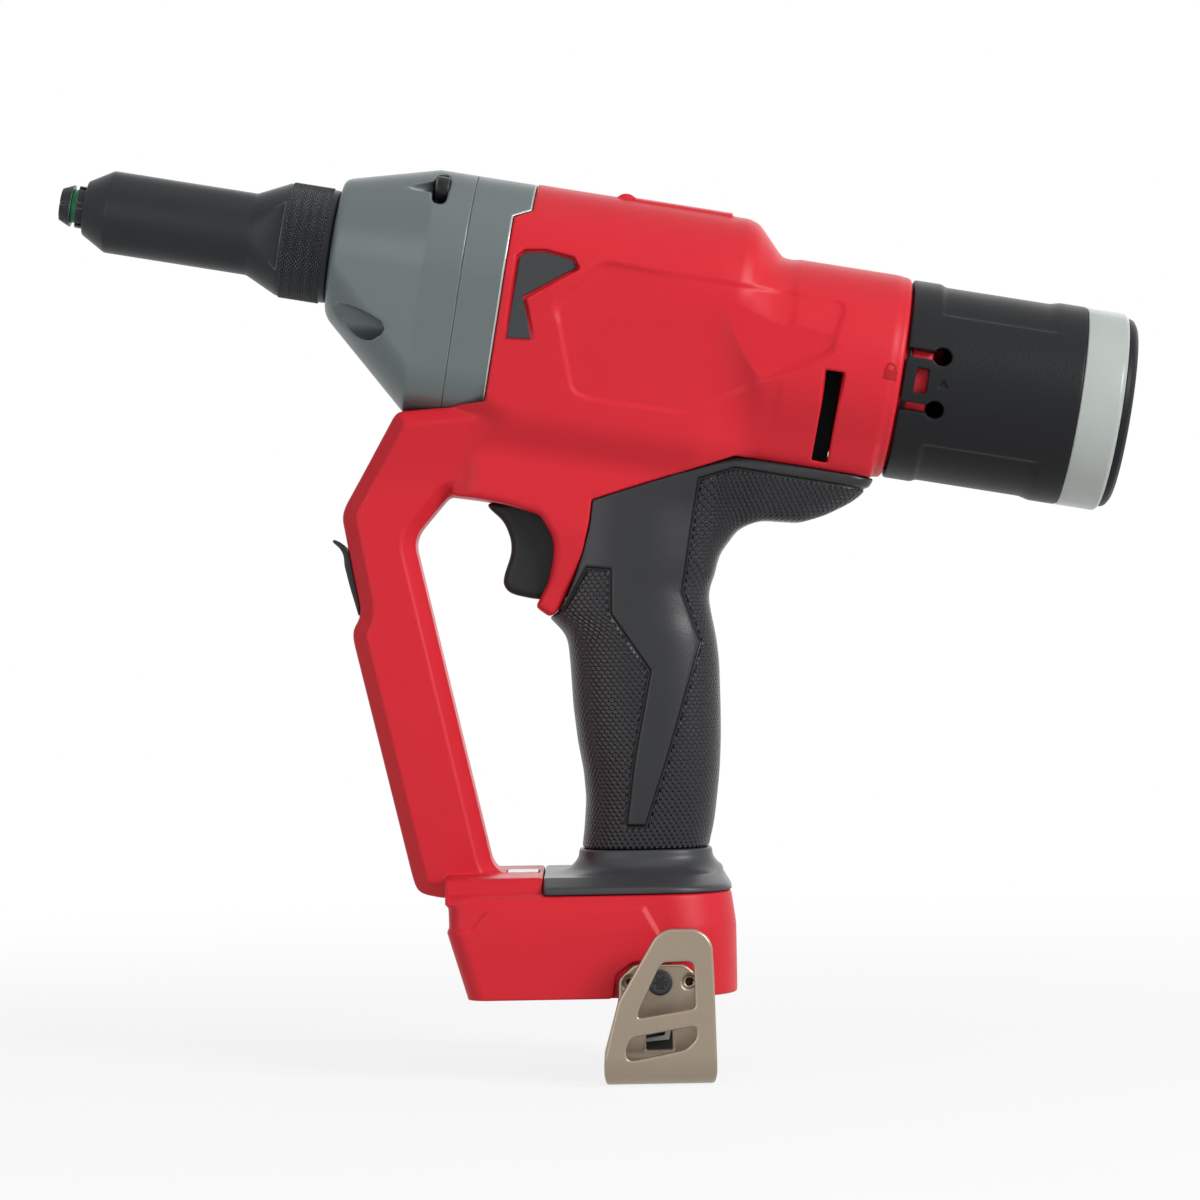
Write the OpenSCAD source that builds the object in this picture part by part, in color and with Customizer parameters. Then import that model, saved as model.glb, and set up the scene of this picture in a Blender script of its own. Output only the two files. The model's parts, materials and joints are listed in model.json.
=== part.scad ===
// Battery rivet tool, shown without its battery: a tilted barrel with the pull
// mechanism, a cast gear case, a two-part housing with a closed finger loop, a
// rubber grip, a battery foot with a belt hook and a twist-off mandrel cup.
// Origin: middle of the battery seat. X runs rearwards, Y across, Z up.
// Barrel stations (names ending in _s) run rearwards along the tilted barrel axis.

/* [Barrel] */
// Height of the barrel axis above the battery seat, over the origin
barrel_z = 206.2; // [205.6:0.1:207]
// Tilt of the barrel, nose up, in degrees
barrel_tilt = 10; // [9.8:0.1:10.2]
// Outer radius of the barrel
barrel_r = 27.4; // [27:0.1:27.8]
// Wall of the moulded housing
shell_wall = 3; // [2.6:0.1:3.2]
// Length of the full-height barrel behind the gear case
hump_len = 68.2; // [67:0.1:69]
// Length over which the barrel top drops to the cup collar
hump_drop_len = 12; // [11:0.1:13]
// Length of the rear collar behind the drop
collar_len = 38; // [37:0.1:39]
// Drop of the cup axis below the barrel axis
cup_drop = 12.2; // [11.9:0.1:12.4]
// Outer radius of the rear collar
collar_r = 29.7; // [29.4:0.1:30]

/* [Gear case] */
// Station of the flat front face of the gear case
case_face_s = -77.5; // [-78:0.1:-77]
// Radius of the front face
case_face_r = 20.3; // [19.8:0.1:20.8]
// Length of the tapered front
case_taper_len = 27.5; // [26.5:0.1:28]
// Length of the front casting
case_front_len = 38.9; // [38.6:0.1:39.4]
// Length of the rear casting that shows
case_back_len = 12.4; // [12:0.1:12.8]
// Drop of the lower lobes below the barrel axis
case_lobe_drop = 28; // [27.6:0.1:28.4]
// Radius of the lower lobes
case_lobe_r = 17; // [16.7:0.1:17.3]
// Half spacing of the lower lobes
case_lobe_y = 6; // [5.6:0.1:6.4]
// Wall in front of the thrust bearing
case_face_wall = 15.5; // [15:0.1:15.8]

/* [Nose] */
// Length of the knurled nose collar
nose_collar_len = 15.3; // [14.8:0.1:16]
// Radius of the knurled nose collar
nose_collar_r = 16.7; // [16.4:0.1:17]
// Length of the flare behind the nose tube
nose_flare_len = 9.5; // [9:0.1:10]
// Length of the straight nose tube
nose_tube_len = 42.5; // [42:0.1:43]
// Radius of the nose tube
nose_tube_r = 12.15; // [12:0.05:12.4]
// Length of the nose cone
nose_cone_len = 7.2; // [7:0.1:7.6]
// Radius of the cone's front
nose_cone_r = 7.9; // [7.6:0.1:8.2]
// Bore of the nose tube
nose_bore_r = 10.2; // [10.1:0.05:10.3]
// Bore of the nosepiece, for a rivet mandrel
mandrel_bore_r = 2.4; // [2.2:0.05:2.5]
// Radius of the nosepiece flange
nosepiece_flange_r = 6.2; // [6:0.1:6.5]
// Radius of the flared tip
nosepiece_tip_r = 6.25; // [6:0.05:6.5]

/* [Drive] */
// Rearward stroke of the pull screw
pull_stroke = 28; // [27:0.5:28]
// Outer radius of the pull screw
screw_r = 8; // [7.9:0.05:8.1]
// Teeth of the nut gear
nut_teeth = 40; // [40]
// Teeth of the idler gear
idler_teeth = 15; // [15]
// Teeth of the output pinion
pinion_teeth = 16; // [16]
// Module of the spur gears
gear_module = 1; // [1:0.01:1.02]
// Drop of the motor axis below the barrel axis
motor_drop = 36; // [35.8:0.1:36.2]
// Radius of the motor stator
stator_r = 18.8; // [18.4:0.1:19]
// Length of the motor stator
stator_len = 26; // [25:0.5:26]

/* [Front arm] */
// Half width of the front arm
arm_half_w = 13; // [12.5:0.1:13.5]
// Bevel along the arm's edges
arm_bevel = 4; // [3.6:0.1:4.2]
// Foremost X of the arm
arm_front_x = -75.2; // [-75.6:0.1:-74.8]
// Reach of the arm outline in X
arm_span = 57; // [56.6:0.1:57.2]
// Lowest Z of the arm outline
arm_base_z = 27.6; // [27.2:0.1:28]
// Drop of the arm's upper end below the barrel axis
arm_top_drop = 35.9; // [35.6:0.1:36.2]

/* [Grip] */
// Half width of the grip
grip_half_w = 18; // [17.6:0.1:18.4]
// Depth of the grip, front to rear, at its deepest
grip_depth = 44; // [43.6:0.1:44.4]
// Lower end of the grip
grip_base_z = 41.4; // [41.2:0.1:41.6]
// Drop of the grip column's upper end below the barrel axis
grip_top_drop = 52.8; // [52.3:0.1:53.3]
// Thickness of the rubber
rubber_t = 2.2; // [2:0.1:2.4]
// Length of the rubber tail under the collar
tail_len = 71; // [70.4:0.1:71.4]

/* [Trigger] */
// Half width of the trigger
trigger_half_w = 7.6; // [7.4:0.1:7.8]
// Travel of the trigger
trigger_travel = 6; // [5:0.5:6]

/* [Foot] */
// Half width of the battery foot
foot_half_w = 40; // [39.6:0.1:40.4]
// Rearmost X of the foot
foot_rear_x = 38; // [37.6:0.1:38.4]
// Foremost X of the foot at its waist
foot_front_x = -45; // [-45.4:0.1:-44.6]
// Height of the foot's rear part
foot_h = 29.6; // [29.4:0.1:29.8]
// Height of the deck in front of the grip
deck_z = 34.6; // [34.4:0.1:34.8]

/* [Belt hook] */
// Thickness of the hook's sheet metal
hook_t = 2.4; // [2.2:0.1:2.5]
// Gap between the hook's legs
hook_gap = 12.4; // [12:0.1:13]
// Width of the hook
hook_w = 31.8; // [31.4:0.1:32.2]
// Drop of the hook below the battery seat
hook_drop = 23.7; // [23.4:0.1:24]
// Height of the outer leg above the battery seat
hook_rise = 20.9; // [20.6:0.1:21.2]

/* [Mandrel cup] */
// Outer radius of the cup
cup_r = 29.4; // [29.2:0.1:29.8]
// Length of the black cup body
cup_len = 51.5; // [51:0.1:52]
// Length of the clear ring that shows
cup_window_len = 12.3; // [12:0.1:12.6]
// Thickness of the cup's end cap
cup_cap_t = 3; // [2.8:0.1:3.2]
// Wall of the cup
cup_wall = 2; // [1.8:0.1:2.1]

/* [Hidden] */

// Overrun of every cutting tool past the face it cuts
over = 1;
// Thin slice that stands for a flat section inside a hull
slice = 0.02;
// Clearance between fixed pieces
fixed_gap = 0.15;
// Clearance of a turning or sliding piece in its bore
run_gap = 0.06;
// Clearance of moulded pieces that move past one another
loose_gap = 0.4;
// Step that keeps joined forms from sharing a face
blend_step = 1;
// Facets of a round in a hull
round_n = 40;
// Facets of a screw hole in the housing
hole_n = 24;
$fa = 4;
$fs = 0.4;

// Barrel stations
case_shoulder_s = case_face_s + case_taper_len;
case_joint_s = case_face_s + case_front_len;
case_rear_s = case_joint_s + case_back_len;
case_tongue_len = 5;
case_tongue_r = 15.5;
case_tongue_rise = 2.6;
case_tongue_s = case_rear_s + case_tongue_len;
hump_end_s = case_rear_s + hump_len;
hump_foot_s = hump_end_s + hump_drop_len;
collar_end_s = hump_foot_s + collar_len;
cup_gap = 0.6;
cup_s = collar_end_s + cup_gap;

// Gear case details
case_spigot_len = 10;
case_spigot_r = barrel_r - shell_wall - fixed_gap;
case_spigot_wall = 2;
case_bore_r = 22;
case_seat_r = 21;
case_screw_r = 1.7;
case_screw_head_r = 3.9;
case_screw_head_len = 3.6;
case_screw_len = 16;
case_screw_top_y = 14.1;
case_screw_top = 20.5;
case_screw_low_y = 17;
case_screw_low = -21.6;
case_screw_top_lead = 11.3;
case_screw_top_s = case_joint_s - case_screw_top_lead;
case_screw_low_lead = 15.4;
case_screw_low_s = case_joint_s - case_screw_low_lead;
case_pocket_r = 4.7;
case_slot_lead = 0.7;
case_slot_reach = 10;
case_groove_len = 9.4;
case_groove_tip_r = 0.5;
case_groove_r = 3.4;
case_groove_out = 1.6;
case_corner_r = 1.2;

// Nose stations and details
nose_collar_s = case_face_s - nose_collar_len;
nose_flare_s = nose_collar_s - nose_flare_len;
nose_tube_s = nose_flare_s - nose_tube_len;
nose_front_s = nose_tube_s - nose_cone_len;
nose_spigot_len = 12;
nose_spigot_r = 14;
nose_chamfer = 0.8;
nose_flat_y = 13.2;
nose_wall_len = 6;
nosepiece_thread_r = 4.9;
nosepiece_flange_len = 2.4;
nosepiece_neck_r = 3.9;
nosepiece_ring_r = 4.9;
nosepiece_ring_len = 1.5;
nosepiece_tip_len = 3.4;
nosepiece_face_r = 4.7;
nosepiece_notch_n = 6;
nosepiece_notch_w = 1.6;
nosepiece_notch_depth = 0.9;
nosepiece_slot_w = 0.7;
nosepiece_slot_depth = 1.8;
nosepiece_flange_s = nose_front_s - nosepiece_flange_len;
nosepiece_neck_s = nosepiece_flange_s - nosepiece_ring_len;
nosepiece_face_s = nosepiece_neck_s - nosepiece_tip_len;

// Pull mechanism
thrust_s = case_face_s + case_face_wall;
thrust_len = 7.8;
thrust_r = 19;
thrust_bore_r = 11;
nut_front_s = thrust_s + thrust_len + run_gap;
nut_flange_len = 5;
nut_flange_r = 18.4;
nut_r = 14;
nut_bearing_len = 8;
nut_gear_gap = 2;
nut_gear_s = case_rear_s + case_spigot_len + nut_gear_gap;
nut_gear_len = 10;
nut_tail_len = 4;
nut_rear_s = nut_gear_s + nut_gear_len + nut_tail_len;
screw_tail_len = 8;
screw_bore_r = 3.4;
screw_rear_s = nut_rear_s + screw_tail_len;
jaw_case_gap = 1;
jaw_case_s = nose_front_s + nose_wall_len + jaw_case_gap;
jaw_case_len = 38;
jaw_case_r = 9.8;
jaw_case_mouth_r = 3.8;
jaw_case_bore_r = 7.4;
jaw_lip_len = 1.5;
jaw_cone_len = 18;
jaw_cone_r = 4.2;
jaw_end_len = 4;
jaw_case_end_s = jaw_case_s + jaw_case_len;
jaw_setback = 1;
jaw_s = jaw_case_s + jaw_lip_len + jaw_setback;
jaw_len = 12;
jaw_grip_r = 1.7;
jaw_slit = 1.2;
jaw_gap = 0.1;
jaw_turn = 120;
pusher_len = 6;
pusher_r = 5.9;
pusher_bore_r = 2.7;
pusher_s = jaw_s + jaw_len + run_gap;
jaw_wire_r = 0.6;
jaw_spring_r = 4.4;
jaw_turns = 5;
jaw_slope = (jaw_case_bore_r - jaw_cone_r) / jaw_cone_len;
tube_r = 4.8;
tube_bore_r = 3.6;
tube_len = 56;
guide_r = 6;
guide_gap = 0.1;
guide_flange_r = 8.4;
guide_flange_t = 1.6;
guide_run_out = 2;
guide_s = screw_rear_s + pull_stroke + guide_run_out;
bulkhead_t = 4;
bulkhead_s = collar_end_s - bulkhead_t;

// Gears and motor
gear_addendum = 0.8 * gear_module;
gear_dedendum = 1.1 * gear_module;
gear_backlash = 0.3;
gear_pressure = 20;
nut_pitch_r = gear_module * nut_teeth / 2;
idler_pitch_r = gear_module * idler_teeth / 2;
pinion_pitch_r = gear_module * pinion_teeth / 2;
idler_reach = nut_pitch_r + idler_pitch_r;
pinion_reach = pinion_pitch_r + idler_pitch_r;
idler_drop = (idler_reach * idler_reach - pinion_reach * pinion_reach + motor_drop * motor_drop)
    / (2 * motor_drop);
idler_y = sqrt(idler_reach * idler_reach - idler_drop * idler_drop);
nut_turn = 0;
idler_dir = atan2(-idler_drop, idler_y);
idler_turn = meshed_turn(nut_turn, nut_teeth, idler_dir, idler_teeth);
pinion_dir = atan2(idler_drop - motor_drop, -idler_y);
pinion_turn = meshed_turn(idler_turn, idler_teeth, pinion_dir, pinion_teeth);
idler_bore_r = 2;
idler_pin_tail = 2;
gear_side_gap = 1.6;
unit_s = nut_gear_s + nut_gear_len + gear_side_gap;
unit_len = 15.4;
unit_r = 16.8;
unit_lug_t = 3;
pinion_shaft_r = 3;
pinion_shaft_len = 9;
motor_gap = 2;
stator_s = unit_s + unit_len + motor_gap;
stator_bore_r = 11.6;
stator_slots = 6;
stator_slot_w = 5;
stator_slot_depth = 5.5;
stator_lip = 1.6;
rotor_r = 11;
rotor_inset = 1;
rotor_shaft_r = 2.5;
rotor_front_len = 8;
fan_gap = 1.8;
fan_len = 6;
fan_r = 15.5;
fan_hub_r = 5;
fan_blades = 9;
fan_blade_t = 1.2;
fan_s = stator_s + stator_len + fan_gap;
bearing_gap = 1;
bearing_len = 4;
bearing_r = 6;
bearing_s = fan_s + fan_len + bearing_gap;

// Housing form
pod_lobe_drop = 37;
pod_lobe_r = 14;
pod_lobe_y = 9;
pod_lead = 10.8;
pod_front_s = case_joint_s - pod_lead;
pod_edge_drop = 44.8;
pod_edge_rear_drop = 38.7;
pod_setback = 2;
pod_rear_s = hump_end_s - pod_setback;
keel_lobe_drop = 35;
keel_lobe_r = 9;
keel_lobe_y = 11;
keel_offset = 4;
keel_s = hump_foot_s + keel_offset;
keel_setback = 3.4;
keel_end_s = collar_end_s - keel_setback;
pad_offset = 34.6;
pad_s = case_rear_s + pad_offset;
pad_len = 28.3;
pad_half_w = 8;
pad_proud = 0.7;
pad_r = barrel_r + pad_proud;
rib_offset = 31.5;
rib_s = case_rear_s + rib_offset;
rib_r = 1.5;
rib_proud = 0.2;
rib_half_w = 9;
panel_y = 25.3;
panel_rear_y = 28.5;
panel_offset = 16.8;
panel_s = case_rear_s + panel_offset;
panel_len = 81.7;
panel_top = 5.4;
panel_corner = 2;
panel_h = 38.4;
panel_shares = [[0.000, 0.630], [0.100, 0.036], [0.160, 0.000], [0.515, 0.010],
    [0.972, 0.643], [1.000, 0.966], [0.979, 1.000], [0.140, 1.000]];
vent_setback = 21.6;
vent_s = collar_end_s - vent_setback;
vent_w = 4.6;
vent_top = -14.6;
vent_low = -40.6;
baffle_lead = 8;
baffle_len = 13;
baffle_t = 2;
baffle_top = -11;
baffle_seat = 1.4;
inlay_offset = 3.6;
inlay_s = case_rear_s + inlay_offset;
inlay_len = 16.8;
inlay_low = -19.8;
inlay_h = 26.2;
inlay_t = 1.4;
inlay_y = 25.9;
inlay_gap = 0.3;
inlay_shares = [[0.006, 0.004], [0.417, 0.030], [0.161, 0.481], [1.000, 0.885], [0.905, 0.966],
    [0.423, 1.000], [0.101, 0.966], [0.000, 0.901]];
motor_bay_r = 19.6;
arm_rise = barrel_z - arm_top_drop - arm_base_z;
guard_x = -45;
guard_w = 56;
guard_drop_share = 1.9059;
guard_z = barrel_z - guard_drop_share * (pod_lobe_drop + pod_lobe_r);
guard_h = 60;
guard_half_w = 16.5;
guard_edge = 2;
guard_shares = [[0.550, 0.002], [0.604, 0.057], [0.704, 0.252], [0.870, 0.500], [1.000, 0.700],
    [1.000, 0.933], [0.089, 0.933], [0.027, 0.612], [0.180, 0.590], [0.320, 0.562],
    [0.500, 0.508], [0.564, 0.397], [0.568, 0.318], [0.539, 0.187], [0.482, 0.088],
    [0.466, 0.058]];
arm_shares = [[0.330, 0.045], [0.349, 0.021], [0.382, 0.009], [0.486, 0.000], [0.860, 0.000],
    [0.860, 0.048], [0.791, 0.050], [0.742, 0.070], [0.374, 0.727], [0.395, 0.753],
    [0.556, 0.828], [0.860, 0.812], [0.970, 0.960], [0.860, 1.016], [0.295, 1.000],
    [0.016, 0.808], [0.000, 0.785], [0.086, 0.598], [0.079, 0.577], [0.047, 0.556],
    [0.046, 0.535]];

// Grip form: height, front, rear and half width as shares of the grip's sizes
grip_front_x = -14;
grip_rise = barrel_z - grip_top_drop - grip_base_z;
grip_power = 2.6;
grip_ring_n = 40;
grip_shares = [[-0.100, 0.170, 1.010, 0.960], [0.000, 0.164, 1.025, 0.980],
    [0.059, 0.182, 1.064, 0.995], [0.130, 0.195, 1.089, 1.010], [0.202, 0.182, 1.109, 1.022],
    [0.282, 0.145, 1.120, 1.022], [0.371, 0.120, 1.123, 1.011], [0.487, 0.095, 1.118, 0.990],
    [0.568, 0.064, 1.098, 0.972], [0.639, 0.000, 1.059, 0.960], [0.711, 0.000, 1.043, 0.956],
    [0.773, 0.010, 1.082, 0.956], [0.827, 0.010, 1.170, 0.956], [1.000, 0.010, 1.230, 0.956]];
rubber_shares = [[-0.034, 0.604], [0.036, 0.624], [0.095, 0.660], [0.159, 0.721], [0.205, 0.774],
    [0.252, 0.852], [0.275, 0.912], [1.232, 1.020], [1.695, 0.989], [2.148, 0.956],
    [2.523, 0.954], [2.523, -0.019], [-0.182, -0.019], [-0.182, 0.594]];
tail_x = 10;
tail_drop_share = 1.6706;
tail_z = barrel_z - tail_drop_share * (pod_lobe_drop + pod_lobe_r);
tail_h = 37;
tail_half_w = 17;
tail_edge = 6;
tail_shares = [[0.000, 0.000], [0.308, 0.005], [0.339, 0.186], [0.425, 0.359], [0.537, 0.422],
    [0.696, 0.397], [0.796, 0.449], [0.899, 0.541], [0.949, 0.608], [0.980, 0.684],
    [1.000, 0.745], [0.932, 0.860], [0.420, 1.000], [0.000, 0.860]];
grip_bay_x = 2;
grip_bay_len = 20;
grip_bay_half_w = 10;
grip_bay_share = 1.298;
grip_bay_top = barrel_z - grip_bay_share * (pod_lobe_drop + pod_lobe_r);

// Boot from the foot's edge up to the grip: height, front, rear and width as shares, and power
boot_front_x = -17.8;
boot_rear_x = 37.4;
boot_half_w = 38.6;
boot_shares = [[0.000, 0.000, 0.000, 0.000, 5], [0.153, 0.000, 0.127, 0.019, 5],
    [0.415, 0.073, 0.667, 0.363, 5], [0.449, 0.580, 0.762, 0.649, 4], [0.542, 0.780, 0.841, 0.811, 3.2],
    [0.712, 0.916, 0.937, 0.916, 2.8], [1.000, 1.000, 1.000, 1.000, 2.6]];

// Trigger form
trigger_x = -33;
trigger_w = 28;
trigger_rise_share = 0.0934;
trigger_z = guard_z + trigger_rise_share * guard_h;
trigger_h = 31;
trigger_edge = 2;
trigger_shares = [[0.536, 0.000], [0.900, 0.020], [0.930, 0.860], [0.700, 1.000],
    [0.018, 0.930], [0.025, 0.881], [0.186, 0.752], [0.257, 0.577], [0.257, 0.439],
    [0.179, 0.248], [0.164, 0.148], [0.239, 0.061]];
plunger_r = 2.4;
plunger_len = 9;
plunger_x = -7.6;
plunger_rise_share = 0.3334;
plunger_z = guard_z + plunger_rise_share * guard_h;
trigger_wire_r = 0.5;
trigger_spring_r = 3.7;
trigger_turns = 6;
trigger_spring_len = 8;
trigger_spring_sink = 8;
spring_room = 2;
switch_len = 18;
switch_h = 24;
switch_half_w = 8;

// Front light and status light
lens_x = -78.4;
lens_w = 9;
lens_share = 0.5844;
lens_z = arm_base_z + lens_share * arm_rise;
lens_h = 26;
lens_half_w = 8.6;
lens_shares = [[0.844, -0.023], [1.000, 0.104], [0.867, 0.362], [0.711, 0.562], [0.600, 0.704],
    [0.467, 0.781], [0.244, 0.838], [0.067, 0.869], [0.000, 0.842], [0.100, 0.806], [0.267, 0.758],
    [0.378, 0.680], [0.400, 0.562], [0.566, 0.319], [0.744, 0.104]];
led_len = 4.6;
led_h = 9;
led_half_w = 5.5;
led_x = -70.6;
led_rise = 6;
led_z = lens_z + led_rise;
status_x = -28.6;
status_len = 9;
status_half_w = 7;
status_t = 2;
status_proud = 0.3;

// Foot details
foot_waist_z = 20;
foot_base_inset = 6;
foot_corner_r = 6;
foot_rear_r = 22;
foot_top_inset = 1.4;
foot_panel_t = 0.8;
foot_panel_x = -44.2;
foot_panel_len = 58;
foot_panel_h = 25.4;
foot_panel_shares = [[0.090, 0.010], [0.790, 0.010], [0.790, 0.330], [0.870, 0.520],
    [1.000, 0.724], [0.947, 1.000], [0.159, 0.992], [0.117, 0.839], [0.000, 0.780]];
deck_front_x = -47.5;
deck_rear_x = -17.9;
deck_half_w = 31;
rail_half_w = 27;
rail_t = 3.4;
bay_half_w = 33.5;
bay_front_x = -36;
bay_rear_x = 31;
bay_top_z = 24;
block_x = 4;
block_len = 25;
block_half_w = 20;
block_drop = 20;
block_slot_w = 2.2;
block_slot_len = 16;
block_slot_shares = [-0.7, -0.25, 0.25, 0.7];
blade_t = 1;
blade_len = 14;
blade_h = 13;
board_x = -33;
board_len = 34;
board_half_w = 26;
board_z = 15;
board_t = 1.6;
board_part_h = 5;
board_part_len = 9;
board_part_half_w = 8;
board_post_r = 3;

// Belt hook details
hook_x = -0.9;
hook_seat_y = 38;
hook_plate_shares = [[0.000, 0.000], [1.000, 0.000], [0.988, 0.598], [0.975, 0.872],
    [0.915, 0.947], [0.821, 0.994], [0.572, 1.000], [0.465, 0.941], [0.123, 0.430]];
hook_upper_shares = [[0.300, 0.300], [0.810, 0.372], [0.805, 0.715], [0.770, 0.742],
    [0.530, 0.736], [0.494, 0.700], [0.310, 0.365]];
hook_lower_shares = [[0.195, -0.018], [0.248, -0.032], [0.720, 0.050], [0.814, 0.130],
    [0.824, 0.205], [0.796, 0.230], [0.240, 0.148], [0.192, 0.070]];
hook_base_shares = [[0.000, 0.000], [1.000, 0.000], [0.990, 0.360], [0.870, 0.640],
    [0.818, 0.905], [0.736, 0.990], [0.280, 1.000], [0.186, 0.890], [0.132, 0.820],
    [0.107, 0.520], [0.000, 0.280]];
hook_base_rise = 9.8;
hook_window_x = 11;
hook_window_w = 7.6;
hook_window_low = -14.6;
hook_window_h = 5.4;
hook_screw_x = 15.2;
hook_screw_z = 4.6;
hook_screw_r = 1.6;
hook_head_r = 3.7;
hook_head_t = 2.2;
hook_socket_r = 1.6;
hook_dimple_x = 8.5;
hook_dimple_r = 1.7;
insert_r = 3;
insert_len = 7;
hook_screw_len = hook_t + insert_len - loose_gap;
insert_bore_r = 1.65;
insert_boss_r = 5.5;
hook_recess_gap = 0.8;

// Housing screws: places as shares of the arm, the grip and its tail, and one in the barrel
arm_boss_shares = [[0.433, 0.893], [0.249, 0.507], [0.486, 0.199], [0.723, 0.010]];
grip_boss_shares = [[0.864, 0.130], [0.932, 0.630]];
tail_boss_shares = [[0.873, 0.946]];
barrel_boss_setback = 2.3;
barrel_boss_s = hump_end_s - barrel_boss_setback;
barrel_boss_rise = 22.5;
boss_places = concat(placed(arm_boss_shares, arm_front_x, arm_span, arm_base_z, arm_rise),
    placed(grip_boss_shares, grip_front_x, grip_depth, grip_base_z, grip_rise),
    placed(tail_boss_shares, tail_x, tail_len, tail_z, tail_h),
    [from_barrel(barrel_boss_s, barrel_boss_rise)]);
boss_half_len = 12;
boss_r = 3.8;
screw_hole_r = 1.7;
screw_shank_r = 1.5;
screw_head_r = 2.9;
screw_head_t = 2.2;
screw_reach = 7;

// Cup details
cup_spigot_len = 8.4;
cup_mouth_wall = 2.8;
cup_mouth_len = 11;
cup_spigot_r = cup_r - cup_mouth_wall - loose_gap;
cup_hole_s = 10.2;
cup_hole_r = 2.7;
cup_slot_w = 2.4;
cup_slot_angle = 15.6;
cup_tab_angle = 2.6;
cup_tab_w = 3.7;
cup_tab_h = 7;
cup_tab_s = 3.3;
cup_band_len = 9;
cup_band_proud = 0.5;
cup_ring_wall = 2.2;
cup_step = 1;
cup_lap = 3;
cup_chamfer = 1.2;
seal_wire_r = 0.9;
seal_s = 1.8;
seal_r = cup_spigot_r + run_gap + seal_wire_r;
seal_groove_r = seal_r + seal_wire_r + run_gap;
seal_groove_w = 2 * seal_wire_r + 2 * run_gap;
cup_web_t = 3;
window_rim = 1.2;
window_end = cup_len + cup_window_len;
window_bore_r = cup_r - cup_wall - cup_ring_wall;
window_lap_r = cup_r - cup_wall - cup_step - run_gap;

function unit2(v) = v / norm(v);
function left_normal(a, b) = let (d = unit2(b - a)) [-d[1], d[0]];
// Closed outline with every edge moved inwards by d
function inset(pts, d) = let (n = len(pts)) [for (i = [0:n - 1])
    let (a = left_normal(pts[(i + n - 1) % n], pts[i]), b = left_normal(pts[i], pts[(i + 1) % n]))
    pts[i] + d * (a + b) / (1 + a * b)];
// Outline from shares of a width and a height
function placed(shares, x, w, z, h) = [for (p = shares) [x + p[0] * w, z + p[1] * h]];
// X and Z of a point given by its barrel station and rise
function from_barrel(s, t) = [s * cos(barrel_tilt) + t * sin(barrel_tilt),
    barrel_z - s * sin(barrel_tilt) + t * cos(barrel_tilt)];
// Closed outline with each corner cut back and bent round
function softened(pts, cut, steps) = let (n = len(pts)) [for (i = [0:n - 1])
    let (p = pts[i], a = pts[(i + n - 1) % n] - p, b = pts[(i + 1) % n] - p,
        u = p + unit2(a) * min(cut, norm(a) * 0.4), v = p + unit2(b) * min(cut, norm(b) * 0.4))
    for (k = [0:steps]) let (t = k / steps) (1 - t) * (1 - t) * u + 2 * t * (1 - t) * p + t * t * v];
// Ring of a rounded rectangle of a given power, level at height z
function plan_ring(z, front, rear, half_w, power, n) = [for (i = [0:n - 1])
    let (a = 360 * i / n, c = cos(a), s = sin(a))
    [(front + rear) / 2 + (rear - front) / 2 * sign(c) * pow(abs(c), 2 / power),
     half_w * sign(s) * pow(abs(s), 2 / power), z]];
// Grip column ring from one row of shares, shrunk by t
function grip_ring(row, t) = plan_ring(grip_base_z + row[0] * grip_rise,
    grip_front_x + row[1] * grip_depth + t, grip_front_x + row[2] * grip_depth - t,
    row[3] * grip_half_w - t, grip_power, grip_ring_n);
// Boot ring from one row of shares, between the foot's edge and the lowest grip ring
function boot_ring(row) = let (grip = grip_shares[1]) plan_ring(
    foot_h + row[0] * (grip_base_z - foot_h),
    (1 - row[1]) * boot_front_x + row[1] * (grip_front_x + grip[1] * grip_depth),
    (1 - row[2]) * boot_rear_x + row[2] * (grip_front_x + grip[2] * grip_depth),
    (1 - row[3]) * boot_half_w + row[3] * grip[3] * grip_half_w, row[4], grip_ring_n);
// Spur gear outline with straight flanks
function gear_outline(teeth, turn) = let (rp = gear_module * teeth / 2, ra = rp + gear_addendum,
    rd = rp - gear_dedendum, h = (PI * gear_module / 2 - gear_backlash) / 2,
    ha = h - gear_addendum * tan(gear_pressure), hd = h + gear_dedendum * tan(gear_pressure))
    [for (k = [0:teeth - 1]) for (q = [[rd, -hd], [ra, -ha], [ra, ha], [rd, hd]])
    let (a = turn + 360 * k / teeth + q[1] / q[0] * 180 / PI) q[0] * [cos(a), sin(a)]];
// Turn of a gear that meshes with another one lying in direction dir from it
function meshed_turn(turn, teeth, dir, mate_teeth) =
    let (p = (dir - turn) * teeth / 360) dir + 180 - 360 / mate_teeth * (0.5 - (p - floor(p)));

module barrel_frame() {
    translate([0, 0, barrel_z]) rotate([0, barrel_tilt, 0]) children();
}

// Turned piece about the barrel axis, outline given as [radius, station]
module turned(outline) {
    rotate([0, 90, 0]) rotate_extrude() polygon(outline);
}

// Cylinder along the barrel axis
module rod(s, len, r, drop = 0, y = 0) {
    translate([s, y, -drop]) rotate([0, 90, 0]) cylinder(h = len, r = r);
}

// Flat section at a station, drawn as [y, height]
module section(s, len) {
    translate([s, 0, 0]) rotate([90, 0, 90]) linear_extrude(len) children();
}

// Outline in the X-Z plane carried from y0 to y1
module across(y0, y1) {
    translate([0, y1, 0]) rotate([90, 0, 0]) linear_extrude(y1 - y0) children();
}

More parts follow.
